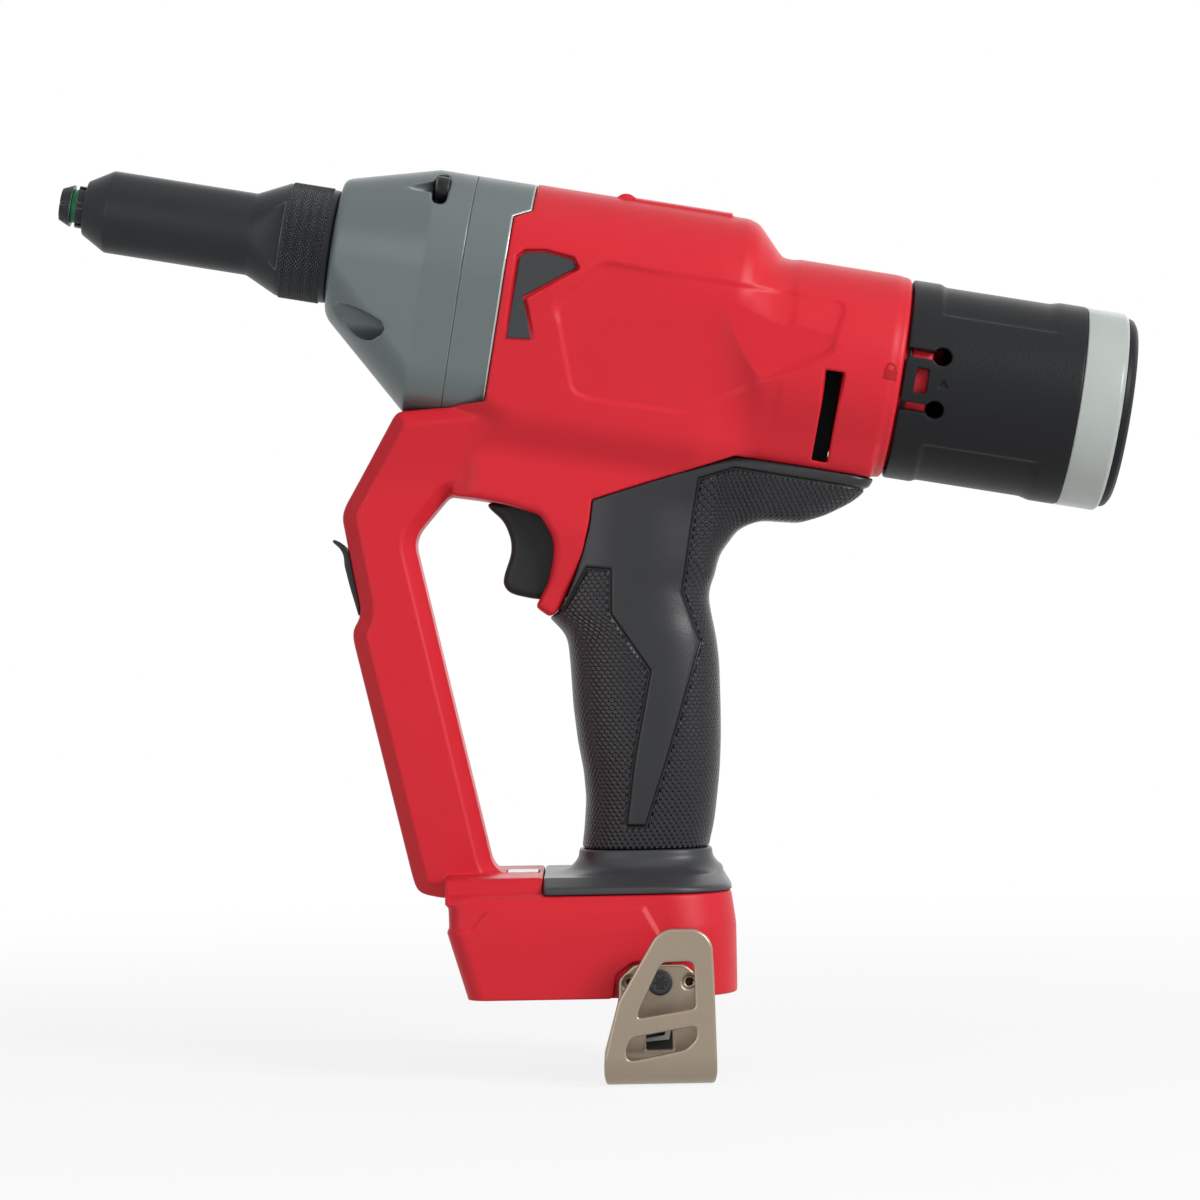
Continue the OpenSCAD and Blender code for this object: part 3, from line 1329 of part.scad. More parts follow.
// One of three jaws: a third of a cone with a grooved bore
module jaw(turn) {
    front_r = jaw_cone_r + (jaw_s - jaw_case_s - jaw_lip_len) * jaw_slope - jaw_gap;
    barrel_frame() rotate([turn, 0, 0]) intersection() {
        turned([[jaw_grip_r, jaw_s], [front_r, jaw_s], [front_r + jaw_len * jaw_slope, jaw_s + jaw_len],
            [jaw_grip_r, jaw_s + jaw_len]]);
        section(jaw_s - over, jaw_len + 2 * over) translate([0, jaw_slit])
            polygon([[0, 0], [2 * jaw_case_r * sin(60), 2 * jaw_case_r * cos(60)],
                [0, 3 * jaw_case_r], [-2 * jaw_case_r * sin(60), 2 * jaw_case_r * cos(60)]]);
    }
}

module jaw_1() color([0.45, 0.46, 0.48]) jaw(0);

module jaw_2() color([0.45, 0.46, 0.48]) jaw(jaw_turn);

module jaw_3() color([0.45, 0.46, 0.48]) jaw(2 * jaw_turn);

module jaw_pusher() color([0.55, 0.56, 0.58]) barrel_frame() difference() {
    rod(pusher_s, pusher_len, pusher_r);
    rod(pusher_s - over, pusher_len + 2 * over, pusher_bore_r);
}

module jaw_spring() color([0.70, 0.70, 0.72]) barrel_frame()
    translate([pusher_s + pusher_len, 0, 0]) rotate([0, 90, 0])
    coil(jaw_spring_r, jaw_wire_r, jaw_case_end_s - jaw_end_len - pusher_s - pusher_len, jaw_turns);

module mandrel_tube() color([0.62, 0.63, 0.64]) barrel_frame() difference() {
    rod(screw_rear_s, tube_len, tube_r);
    rod(screw_rear_s - over, tube_len + 2 * over, tube_bore_r);
}

module guide_tube() color([0.14, 0.14, 0.15]) barrel_frame() difference() {
    union() {
        rod(guide_s, collar_end_s + cup_spigot_len - guide_s, guide_r);
        rod(bulkhead_s - guide_flange_t, guide_flange_t, guide_flange_r);
    }
    rod(guide_s - over, collar_end_s + cup_spigot_len - guide_s + 2 * over, tube_r + guide_gap);
}

module terminal_block() color([0.08, 0.08, 0.09]) difference() {
    translate([block_x, -block_half_w, -block_drop])
        cube([block_len, 2 * block_half_w, block_drop + bay_top_z]);
    for (q = block_slot_shares)
        translate([block_x - over, q * block_half_w - block_slot_w / 2, -block_drop - over])
            cube([block_slot_len + over, block_slot_w, block_drop + over]);
}

module terminal_blades() color([0.78, 0.62, 0.30]) for (q = block_slot_shares)
    translate([block_x + block_slot_len - blade_len, q * block_half_w - blade_t / 2, -blade_h])
        cube([blade_len, blade_t, blade_h]);

module hook_inserts() color([0.75, 0.60, 0.32]) for (m = [-1, 1])
    translate([hook_screw_x, m * hook_seat_y, hook_screw_z]) rotate([m * 90, 0, 0]) difference() {
        cylinder(h = insert_len, r = insert_r);
        translate([0, 0, -over]) cylinder(h = insert_len + 2 * over, r = insert_bore_r);
    }

module belt_hook() color([0.60, 0.55, 0.47]) {
    bend_r = hook_gap / 2 + hook_t;
    bend_z = -hook_drop + bend_r;
    outer_y = -hook_seat_y - hook_t - hook_gap;
    difference() {
        across(outer_y - hook_t, outer_y)
            polygon(placed(hook_plate_shares, hook_x, hook_w, bend_z, hook_rise - bend_z));
        across(outer_y - hook_t - over, outer_y + over)
            polygon(placed(hook_upper_shares, hook_x, hook_w, bend_z, hook_rise - bend_z));
        across(outer_y - hook_t - over, outer_y + over) intersection() {
            polygon(placed(hook_lower_shares, hook_x, hook_w, bend_z, hook_rise - bend_z));
            translate([hook_x, bend_z + fixed_gap]) square([hook_w, hook_rise]);
        }
    }
    translate([hook_x, outer_y + hook_gap / 2, bend_z]) rotate([0, 90, 0]) difference() {
        cylinder(h = hook_w, r = bend_r);
        translate([0, 0, -over]) cylinder(h = hook_w + 2 * over, r = hook_gap / 2);
        translate([-2 * bend_r, -bend_r - over, -over])
            cube([2 * bend_r, 2 * (bend_r + over), hook_w + 2 * over]);
    }
    difference() {
        across(-hook_seat_y - hook_t, -hook_seat_y)
            polygon(placed(hook_base_shares, hook_x, hook_w, bend_z, hook_base_rise - bend_z));
        for (x = [-hook_dimple_x, hook_dimple_x])
            translate([hook_screw_x + x, -hook_seat_y + over, hook_screw_z]) rotate([90, 0, 0])
            cylinder(h = hook_t + 2 * over, r = hook_dimple_r);
        translate([hook_screw_x, -hook_seat_y + over, hook_screw_z]) rotate([90, 0, 0])
            cylinder(h = hook_t + 2 * over, r = hook_screw_r + fixed_gap);
        translate([hook_window_x, -hook_seat_y - hook_t - over, hook_window_low])
            cube([hook_window_w, hook_t + 2 * over, hook_window_h]);
    }
}

module hook_screw() color([0.62, 0.63, 0.65]) translate([hook_screw_x, -hook_seat_y - hook_t, hook_screw_z])
    rotate([90, 0, 0]) difference() {
        union() {
            cylinder(h = hook_head_t, r1 = hook_head_r, r2 = hook_head_r - hook_head_t / 3);
            translate([0, 0, -hook_screw_len]) cylinder(h = hook_screw_len + over, r = hook_screw_r);
        }
        translate([0, 0, hook_head_t / 3]) cylinder(h = hook_head_t, r = hook_socket_r, $fn = 6);
    }

// Cup frame: along the cup axis from the cup's front edge
module cup_frame() {
    barrel_frame() translate([cup_s, 0, -cup_drop]) children();
}

module cup_seal() color([0.05, 0.05, 0.05]) cup_frame() rotate([0, 90, 0]) translate([0, 0, seal_s])
    rotate_extrude() translate([seal_r, 0]) circle(r = seal_wire_r);

module cup_body() color([0.10, 0.10, 0.11]) cup_frame() difference() {
    turned([[cup_r - cup_wall, cup_mouth_len], [cup_r - cup_mouth_wall, cup_mouth_len],
        [cup_r - cup_mouth_wall, seal_s + seal_groove_w / 2], [seal_groove_r, seal_s + seal_groove_w / 2],
        [seal_groove_r, seal_s - seal_groove_w / 2], [cup_r - cup_mouth_wall, seal_s - seal_groove_w / 2],
        [cup_r - cup_mouth_wall, 0], [cup_r - cup_band_proud, 0], [cup_r, cup_band_proud],
        [cup_r, cup_band_len],
        [cup_r - cup_band_proud, cup_band_len + cup_band_proud],
        [cup_r - cup_band_proud, cup_len - cup_band_len - cup_band_proud], [cup_r, cup_len - cup_band_len],
        [cup_r, cup_len], [cup_r - cup_wall - cup_step, cup_len],
        [cup_r - cup_wall - cup_step, cup_len - cup_lap], [cup_r - cup_wall, cup_len - 2 * cup_lap]]);
    for (m = [-1, 1]) rotate([cup_tab_angle + m * cup_slot_angle + 90, 0, 0]) {
        translate([-over, -cup_slot_w / 2, 0]) cube([cup_hole_s + over, cup_slot_w, 2 * cup_r]);
        translate([cup_hole_s, 0, 0]) cylinder(h = 2 * cup_r, r = cup_hole_r);
    }
    rotate([cup_tab_angle + 90, 0, 0]) translate([cup_tab_s, -cup_tab_h / 2, 0])
        cube([cup_tab_w, cup_tab_h, 2 * cup_r]);
}

module cup_window() color([0.70, 0.74, 0.72, 0.6]) cup_frame() turned([
    [window_bore_r, cup_len - cup_lap + run_gap], [window_lap_r, cup_len - cup_lap + run_gap],
    [window_lap_r, cup_len], [cup_r, cup_len], [cup_r, window_end - window_rim],
    [cup_r - window_rim, window_end], [window_bore_r, window_end]]);

module cup_cap() color([0.09, 0.09, 0.10]) cup_frame() turned([[0, window_end - cup_lap],
    [window_bore_r - run_gap, window_end - cup_lap], [window_bore_r - run_gap, window_end],
    [cup_r - window_rim, window_end],
    [cup_r - window_rim - cup_chamfer / 2, window_end + cup_cap_t - cup_chamfer],
    [cup_r - window_rim - 2 * cup_chamfer, window_end + cup_cap_t], [0, window_end + cup_cap_t]]);

left_housing();
right_housing();
housing_screws();
left_grip();
right_grip();
grip_boot();
gearcase_front();
gearcase_rear();
gearcase_screws();
side_inlays();
nose_housing();
nosepiece();
nosepiece_ring();
led_lens();
led_module();
status_light();
trigger();
trigger_spring();
trigger_switch();
control_board();
motor_stator();
motor_rotor();
motor_fan();
motor_bearing();
reduction_unit();
output_pinion();
idler_gear();
idler_pin();
thrust_bearing();
nut_bearing();
drive_nut();
pull_screw();
jaw_case();
jaw_1();
jaw_2();
jaw_3();
jaw_pusher();
jaw_spring();
mandrel_tube();
guide_tube();
air_baffle();
terminal_block();
terminal_blades();
hook_inserts();
belt_hook();
hook_screw();
cup_seal();
cup_body();
cup_window();
cup_cap();
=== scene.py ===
"""Looks of the battery rivet tool: moulded shells, rubber, castings, nose and cup.

Sizes are in millimetres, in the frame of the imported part: X rearwards, Y across, Z up.
Points of the tilted barrel are given as station (rearwards along its axis) and rise.
"""

import json
import logging
import math
from collections.abc import Iterable, Sequence
from dataclasses import dataclass
from enum import Enum
from itertools import product

import bmesh
import bpy
import numpy as np
import openvdb
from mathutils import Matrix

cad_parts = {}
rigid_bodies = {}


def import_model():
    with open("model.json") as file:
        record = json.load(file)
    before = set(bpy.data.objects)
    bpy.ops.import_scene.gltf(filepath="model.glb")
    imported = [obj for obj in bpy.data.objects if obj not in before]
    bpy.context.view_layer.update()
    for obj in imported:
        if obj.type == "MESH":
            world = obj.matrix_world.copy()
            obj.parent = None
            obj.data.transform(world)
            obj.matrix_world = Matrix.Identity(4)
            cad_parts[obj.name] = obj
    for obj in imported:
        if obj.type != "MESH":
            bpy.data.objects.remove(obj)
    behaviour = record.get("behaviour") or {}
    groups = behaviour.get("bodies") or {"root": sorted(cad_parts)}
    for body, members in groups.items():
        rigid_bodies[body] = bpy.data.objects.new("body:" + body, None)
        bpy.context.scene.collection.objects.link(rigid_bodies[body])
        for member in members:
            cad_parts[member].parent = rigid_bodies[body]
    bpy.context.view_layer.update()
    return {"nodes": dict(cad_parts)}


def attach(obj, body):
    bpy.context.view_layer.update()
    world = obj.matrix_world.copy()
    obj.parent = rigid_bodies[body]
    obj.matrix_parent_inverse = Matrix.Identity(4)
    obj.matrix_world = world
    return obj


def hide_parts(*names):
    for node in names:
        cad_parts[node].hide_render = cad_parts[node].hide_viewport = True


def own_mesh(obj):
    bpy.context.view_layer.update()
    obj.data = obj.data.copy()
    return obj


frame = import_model()

LOG = logging.getLogger("rivet_tool")
MM = 0.001
TILT = math.radians(10.0)
COS, SIN = math.cos(TILT), math.sin(TILT)
BARREL_Z = 206.2
TRIGGER_TRAVEL = 6.0
PUSHER_TRAVEL = 2.4
CUP_DROP = 12.2
BARREL_R = 27.4
COLLAR_R = 29.7
GRIP_POWER = 2.6
CREASE = math.radians(38.0)
CRUMB_SHARE = 0.02
WHITE = (1.0, 1.0, 1.0, 1.0)
GLOSS_DRIFT = 0.07
COAT_ROUGHNESS = 0.25
# How dark the painted shade in the rubber's border groove is.
PAINTED_GROOVE_SHADE = 0.2
SCALE_WIDTH, SCALE_HEIGHT = 0.9, 1.15
WEAR_AND_HIGHLIGHT_WIDTH = 0.5

Outline = Sequence[tuple[float, float]]
Corner = tuple[float, float, float]
Field = np.ndarray
Socket = bpy.types.NodeSocket
Value = Socket | float | tuple[float, ...]


def to_barrel(x: Field, z: Field) -> tuple[Field, Field]:
    """Give the barrel station and rise of points.

    Args:
        x: Distance rearwards.
        z: Height.

    Returns:
        Stations and rises.
    """
    h = z - BARREL_Z
    return COS * x - SIN * h, SIN * x + COS * h


def from_barrel(s: Field, t: Field) -> tuple[Field, Field]:
    """Give X and Z of barrel points.

    Args:
        s: Stations along the barrel.
        t: Rises above its axis.

    Returns:
        X and Z values.
    """
    return COS * s + SIN * t, BARREL_Z - SIN * s + COS * t


def soft_min(a: Field, b: Field, k: float) -> Field:
    """Join two forms with a fillet.

    Args:
        a: Distance to the first form.
        b: Distance to the second form.
        k: Reach of the fillet.

    Returns:
        Distance to the joined form.
    """
    h = np.maximum(k - np.abs(a - b), 0.0) / k
    return np.minimum(a, b) - h * h * (k / 4)


def soft_max(a: Field, b: Field, k: float) -> Field:
    """Trim one form by another with a rounded edge.

    Args:
        a: Distance to the form.
        b: Distance to the trimming form.
        k: Reach of the rounding.

    Returns:
        Distance to the trimmed form.
    """
    h = np.maximum(k - np.abs(a - b), 0.0) / k
    return np.maximum(a, b) + h * h * (k / 4)


def eased(outline: Outline, cut: float, steps: int = 4) -> list[tuple[float, float]]:
    """Bend the corners of a closed outline round.

    Args:
        outline: Corner points.
        cut: Length taken off each side of a corner.
        steps: Points on each bend, less one.

    Returns:
        The longer list of points.
    """
    pts = np.array(outline)
    out = []
    for p, a, b in zip(pts, np.roll(pts, 1, 0), np.roll(pts, -1, 0)):
        la, lb = np.linalg.norm(a - p), np.linalg.norm(b - p)
        u = p + (a - p) / la * min(cut, 0.42 * la)
        v = p + (b - p) / lb * min(cut, 0.42 * lb)
        for k in range(steps + 1):
            w = k / steps
            q = (1 - w) ** 2 * u + 2 * w * (1 - w) * p + w * w * v
            out.append((float(q[0]), float(q[1])))
    return out


def outline_distance(u: Field, v: Field, outline: Outline) -> Field:
    """Measure how far points lie from a closed outline.

    Args:
        u: First coordinate of the points.
        v: Second coordinate.
        outline: Corners of the outline.

    Returns:
        Distances, negative inside.
    """
    pts = list(outline)
    best = np.full(np.broadcast(u, v).shape, 1e9, np.float32)
    inside = np.zeros(best.shape, bool)
    for (ax, ay), (bx, by) in zip(pts, pts[1:] + pts[:1]):
        ex, ey = bx - ax, by - ay
        pu, pv = u - ax, v - ay
        k = np.clip((pu * ex + pv * ey) / max(ex * ex + ey * ey, 1e-9), 0.0, 1.0)
        best = np.minimum(best, (pu - ex * k) ** 2 + (pv - ey * k) ** 2)
        if ey:
            inside ^= ((ay > v) != (by > v)) & (pu < ex / ey * pv)
    return np.where(inside, -np.sqrt(best), np.sqrt(best))


def round_trim(a: Field, b: Field, edge: Field) -> Field:
    """Trim one form by another with an edge of an exact radius.

    Args:
        a: Distance to the form, with the radius added.
        b: Distance to the trimming form, with the radius added.
        edge: The radius.

    Returns:
        Distance to the trimmed form.
    """
    outside = np.hypot(np.maximum(a, 0.0), np.maximum(b, 0.0))
    return np.minimum(np.maximum(a, b), 0.0) + outside - edge


def slab(flat: Field, y: Field, half: float, edge: float) -> Field:
    """Carry an outline across the tool with rounded edges.

    Args:
        flat: Distance to the outline.
        y: Distance from the middle plane.
        half: Half width.
        edge: Radius of the edges.

    Returns:
        Distance to the slab.
    """
    return round_trim(flat + edge, y - (half - edge), edge)


def curve(v: Field, places: Sequence[float], values: Sequence[float], blur: float) -> Field:
    """Read a size that changes along a line, with its bends softened.

    Args:
        v: Places to read at.
        places: Rising list of given places.
        values: Size at each given place.
        blur: Reach of the softening.

    Returns:
        Sizes at the places to read.
    """
    reach = np.arange(places[0] - 3 * blur, places[-1] + 3 * blur, blur / 12)
    row = np.interp(reach, places, values)
    kernel = np.hanning(27)[1:-1]
    row = np.convolve(np.pad(row, 12, mode="edge"), kernel / kernel.sum(), mode="valid")
    return np.interp(v, reach, row).astype(np.float32)


def lobed(y: Field, t: Field, top: Field, top_r: Field,
          low_y: Field, low: Field, low_r: Field) -> Field:
    """Section of a round over two lower lobes, joined by straight flanks.

    Args:
        y: Distance from the middle plane.
        t: Rise above the barrel axis.
        top: Rise of the round's centre.
        top_r: Radius of the round.
        low_y: Half spacing of the lobes.
        low: Rise of the lobes' centres.
        low_r: Radius of the lobes.

    Returns:
        Distance to the section.
    """
    dt = low - top
    h = np.maximum(np.hypot(low_y, dt), 1e-3)
    along = (y * low_y + (t - top) * dt) / h
    beside = np.abs(y * dt - (t - top) * low_y) / h
    b = np.clip((top_r - low_r) / h, -0.999, 0.999)
    q = np.sqrt(1 - b * b)
    k = q * along - b * beside
    flank = np.where(k < 0, np.hypot(beside, along) - top_r, np.where(
        k > q * h, np.hypot(beside, along - h) - low_r, q * beside + b * along - top_r))
    core = np.maximum(np.maximum(y - low_y, low - low_r - t), t - top)
    return np.minimum(flank, core)


def grip_plan(u: Field, v: Field, half_u: Field, half_v: Field) -> Field:
    """Section of the grip, between an oval and a rectangle.

    Args:
        u: First coordinate from the middle.
        v: Second coordinate from the middle.
        half_u: Half size along u.
        half_v: Half size along v.

    Returns:
        Distance to the section.
    """
    power = GRIP_POWER
    a = np.maximum(np.abs(u) / half_u, 1e-4)
    b = np.maximum(np.abs(v) / half_v, 1e-4)
    f = np.maximum((a ** power + b ** power) ** (1 / power), 0.05)
    slope = np.hypot(a ** (power - 1) / half_u, b ** (power - 1) / half_v) * f ** (1 - power)
    return (f - 1) / np.maximum(slope, 1e-4)


class Space:
    """Block of sample points in which a form is worked out and meshed."""

    def __init__(self, low: Corner, high: Corner, step: float, tilted: bool = False) -> None:
        """Lay out the points.

        Args:
            low: Lowest corner.
            high: Highest corner.
            step: Spacing of the points.
            tilted: Whether the block follows the barrel.
        """
        self.step = step * 1.0
        self.low = np.array(low, np.float32)
        self.tilted = tilted
        axes = [np.arange(a, b + self.step, self.step, dtype=np.float32)
                for a, b in zip(low, high)]
        self.x, self.z = axes[0][:, None, None], axes[2][None, None, :]
        self.across = axes[1][None, :, None]
        self.y = np.abs(self.across)
        self.s, self.t = (self.x, self.z) if tilted else to_barrel(self.x, self.z)

    def read(self, form: Field, spots: Field) -> Field:
        """Read a form between its sample points.

        Args:
            form: Distances at the sample points.
            spots: Places in steps from the lowest corner.

        Returns:
            Distances at the places.
        """
        base = np.clip(np.floor(spots).astype(int), 0, np.array(form.shape) - 2)
        part = np.clip(spots - base, 0.0, 1.0)
        total = np.zeros(len(spots))
        for corner in product((0, 1), repeat=3):
            weight = np.prod(np.where(np.array(corner) == 1, part, 1 - part), axis=1)
            i, j, k = (base + corner).T
            total += weight * form[i, j, k]
        return total

    def mesh(self, form: Field, name: str, faces: int, side: int = 1) -> bpy.types.Mesh:
        """Skin a form, thin the skin out and take its shading from the form.

        Args:
            form: Distances at the sample points.
            name: Name of the mesh.
            faces: Triangles to keep.
            side: -1 mirrors the form to the other side.

        Returns:
            The mesh, in metres.
        """
        band = 3 * self.step
        grid = openvdb.FloatGrid(band)
        form = np.ascontiguousarray(np.clip(form, -band, band), dtype=np.float32)
        grid.copyFromArray(form)
        spots, quads = grid.convertToQuads(0.0)
        quads = quads if side > 0 else quads[:, ::-1]
        raw = bpy.data.meshes.new(name + "_raw")
        fill_mesh(raw, self.placed(spots, side), quads)
        raw = tidy_mesh(raw)
        keep = min(1.0, faces / 1.0 / max(2 * len(quads), 1))
        mesh = with_modifier(raw, name, "DECIMATE", ratio=keep)
        spots = self.spots(points_of(mesh), side)
        normals = np.stack([self.read(form, spots + probe) - self.read(form, spots - probe)
                            for probe in 0.8 * np.eye(3)], axis=1)
        normals /= np.maximum(np.linalg.norm(normals, axis=1, keepdims=True), 1e-6)
        normals[:, 1] *= side
        if self.tilted:
            s, t = normals[:, 0].copy(), normals[:, 2].copy()
            normals[:, 0], normals[:, 2] = COS * s + SIN * t, COS * t - SIN * s
        mesh.normals_split_custom_set_from_vertices(normals.tolist())
        return mesh

    def placed(self, spots: Field, side: int) -> Field:
        """Turn places in steps into points of the tool, in metres.

        Args:
            spots: Places in steps from the lowest corner.
            side: -1 mirrors them.

        Returns:
            The points.
        """
        p = self.low + spots * self.step
        if self.tilted:
            p[:, 0], p[:, 2] = from_barrel(p[:, 0].copy(), p[:, 2].copy())
        p[:, 1] *= side
        return p * MM

    def spots(self, points: Field, side: int) -> Field:
        """Turn points of the tool, in millimetres, into places in steps.

        Args:
            points: The points.
            side: -1 where they are mirrored.

        Returns:
            Places in steps from the lowest corner.
        """
        p = points.copy()
        p[:, 1] *= side
        if self.tilted:
            p[:, 0], p[:, 2] = to_barrel(p[:, 0].copy(), p[:, 2].copy())
        return (p - self.low) / self.step


def fill_mesh(mesh: bpy.types.Mesh, points: Field, faces: Field) -> None:
    """Fill a mesh from arrays.

    Args:
        mesh: Empty mesh.
        points: Points in metres.
        faces: Rows of point numbers, all of one length.
    """
    count, sides = faces.shape
    mesh.vertices.add(len(points))
    mesh.vertices.foreach_set("co", np.ascontiguousarray(points, np.float32).ravel())
    mesh.loops.add(count * sides)
    mesh.loops.foreach_set("vertex_index", np.ascontiguousarray(faces, np.int32).ravel())
    mesh.polygons.add(count)
    mesh.polygons.foreach_set("loop_start", np.arange(0, count * sides, sides, dtype=np.int32))
    mesh.polygons.foreach_set("use_smooth", np.ones(count, bool))
    mesh.update(calc_edges=True)


def ring_quads(rows: int, turns: int) -> Field:
    """List the faces of a grid of points that closes in both directions.

    Args:
        rows: Rings of points.
        turns: Points in each ring.

    Returns:
        Rows of four point numbers.
    """
    i, j = np.meshgrid(np.arange(rows), np.arange(turns), indexing="ij")
    ni, nj = (i + 1) % rows, (j + 1) % turns
    corners = [i * turns + j, ni * turns + j, ni * turns + nj, i * turns + nj]
    return np.stack(corners, axis=2).reshape(-1, 4)


def points_of(mesh: bpy.types.Mesh) -> Field:
    """Read the points of a mesh.

    Args:
        mesh: Mesh to read.

    Returns:
        Rows of X, Y and Z in millimetres.
    """
    points = np.empty(3 * len(mesh.vertices), np.float32)
    mesh.vertices.foreach_get("co", points)
    return points.reshape(-1, 3) / MM


def mark_points(mesh: bpy.types.Mesh, name: str, values: Field) -> None:
    """Keep one value for each point of a mesh, for its finish to read.

    Args:
        mesh: Mesh to mark.
        name: Name of the value.
        values: One value for each point.
    """
    mark = mesh.attributes.new(name, "FLOAT", "POINT")
    mark.data.foreach_set("value", np.ascontiguousarray(values, np.float32))


def tidy_mesh(mesh: bpy.types.Mesh) -> bpy.types.Mesh:
    """Turn all faces outwards and drop loose crumbs.

    Args:
        mesh: Mesh to tidy in place.

    Returns:
        The same mesh.
    """
    work = bmesh.new()
    work.from_mesh(mesh)
    work.verts.ensure_lookup_table()
    seen = np.zeros(len(work.verts), bool)
    crumbs = []
    for vert in work.verts:
        if seen[vert.index]:
            continue
        seen[vert.index] = True
        shell, queue = [vert], [vert]
        while queue:
            for edge in queue.pop().link_edges:
                for other in edge.verts:
                    if not seen[other.index]:
                        seen[other.index] = True
                        shell.append(other)
                        queue.append(other)
        if len(shell) < CRUMB_SHARE * len(work.verts):
            crumbs += shell
    bmesh.ops.delete(work, geom=crumbs, context="VERTS")
    if work.calc_volume(signed=True) < 0:
        bmesh.ops.reverse_faces(work, faces=work.faces)
    work.to_mesh(mesh)
    work.free()
    return mesh


def with_modifier(mesh: bpy.types.Mesh, name: str, kind: str,
                  **settings: object) -> bpy.types.Mesh:
    """Apply one modifier to a mesh.

    Args:
        mesh: Mesh to change; it is removed afterwards.
        name: Name of the result.
        kind: Modifier type.
        **settings: Modifier settings.

    Returns:
        The changed mesh.
    """
    holder = bpy.data.objects.new(name + "_work", mesh)
    bpy.context.scene.collection.objects.link(holder)
    modifier = holder.modifiers.new(kind.lower(), kind)
    for key, value in settings.items():
        setattr(modifier, key, value)
    graph = bpy.context.evaluated_depsgraph_get()
    result = bpy.data.meshes.new_from_object(holder.evaluated_get(graph))
    result.name = name
    bpy.data.objects.remove(holder)
    bpy.data.meshes.remove(mesh)
    return result


def lathe(name: str, outline: Outline, turns: int, ease: float = 0.0,
          drop: float = 0.0) -> bpy.types.Mesh:
    """Turn a closed outline about the barrel axis or one below it.

    Args:
        name: Name of the mesh.
        outline: Points as (radius, station).
        turns: Facets round the axis.
        ease: Rounding of the outline's corners.
        drop: Drop of the turning axis below the barrel axis.

    Returns:
        The mesh, in metres.
    """
    rows = np.array(eased(outline, ease, 3) if ease else outline, np.float32)
    angle = np.linspace(0, 2 * math.pi, turns, endpoint=False, dtype=np.float32)[None, :]
    radius, station = rows[:, :1], rows[:, 1:] + 0 * angle
    x, z = from_barrel(station, radius * np.cos(angle) - drop)
    points = np.stack([x, radius * np.sin(angle), z], axis=2).reshape(-1, 3) * MM
    mesh = bpy.data.meshes.new(name)
    fill_mesh(mesh, points, ring_quads(len(rows), turns))
    tidy_mesh(mesh)
    mesh.set_sharp_from_angle(angle=CREASE)
    return mesh


def cut_mesh(mesh: bpy.types.Mesh, cutters: Iterable[bpy.types.Mesh]) -> bpy.types.Mesh:
    """Cut forms out of a mesh.

    Args:
        mesh: Mesh to cut.
        cutters: Closed meshes to take away; they are removed afterwards.

    Returns:
        The cut mesh.
    """
    name = mesh.name
    for cutter in cutters:
        tool = bpy.data.objects.new(name + "_cutter", cutter)
        bpy.context.scene.collection.objects.link(tool)
        mesh = with_modifier(mesh, name, "BOOLEAN", object=tool,
                             operation="DIFFERENCE", solver="EXACT")
        bpy.data.objects.remove(tool)
        bpy.data.meshes.remove(cutter)
    mesh.set_sharp_from_angle(angle=CREASE)
    return mesh


def barrel_prism(outline: Outline, near: float, far: float, turn: float) -> bpy.types.Mesh:
    """Prism that stands out from the barrel's side, turned about its axis.

    Args:
        outline: Corners as (station, height along the side).
        near: Distance of its inner end from the axis.
        far: Distance of its outer end.
        turn: Angle in degrees below the level of the axis.

    Returns:
        A closed mesh, in metres.
    """
    a = math.radians(turn)
    work = bmesh.new()
    rings = []
    for reach in (near, far):
        ring = []
        for s, h in outline:
            x, z = from_barrel(s, h * math.cos(a) - reach * math.sin(a))
            y = -reach * math.cos(a) - h * math.sin(a)
            ring.append(work.verts.new((x * MM, y * MM, z * MM)))
        rings.append(ring)
    work.faces.new(rings[0])
    work.faces.new(rings[1][::-1])
    for k in range(len(outline)):
        n = (k + 1) % len(outline)
        work.faces.new((rings[0][n], rings[0][k], rings[1][k], rings[1][n]))
    bmesh.ops.recalc_face_normals(work, faces=work.faces)
    mesh = bpy.data.meshes.new("prism")
    work.to_mesh(mesh)
    work.free()
    return mesh


def linear(colour: Sequence[int]) -> tuple[float, float, float, float]:
    """Turn a display colour into a light colour.

    Args:
        colour: Red, green and blue from 0 to 255.

    Returns:
        Linear colour with full alpha.
    """
    parts = [c / 255 for c in colour]
    parts = [p / 12.92 if p <= 0.04045 else ((p + 0.055) / 1.055) ** 2.4 for p in parts]
    return parts[0], parts[1], parts[2], 1.0


class Grain(Enum):
    """Kinds of fine surface relief."""

    MOULDED = "smooth plastic"
    SPARKED = "spark-eroded plastic"
    CAST = "painted casting"
    SCALED = "scaled rubber"
    BRUSHED = "brushed metal"
    TURNED = "turned metal"


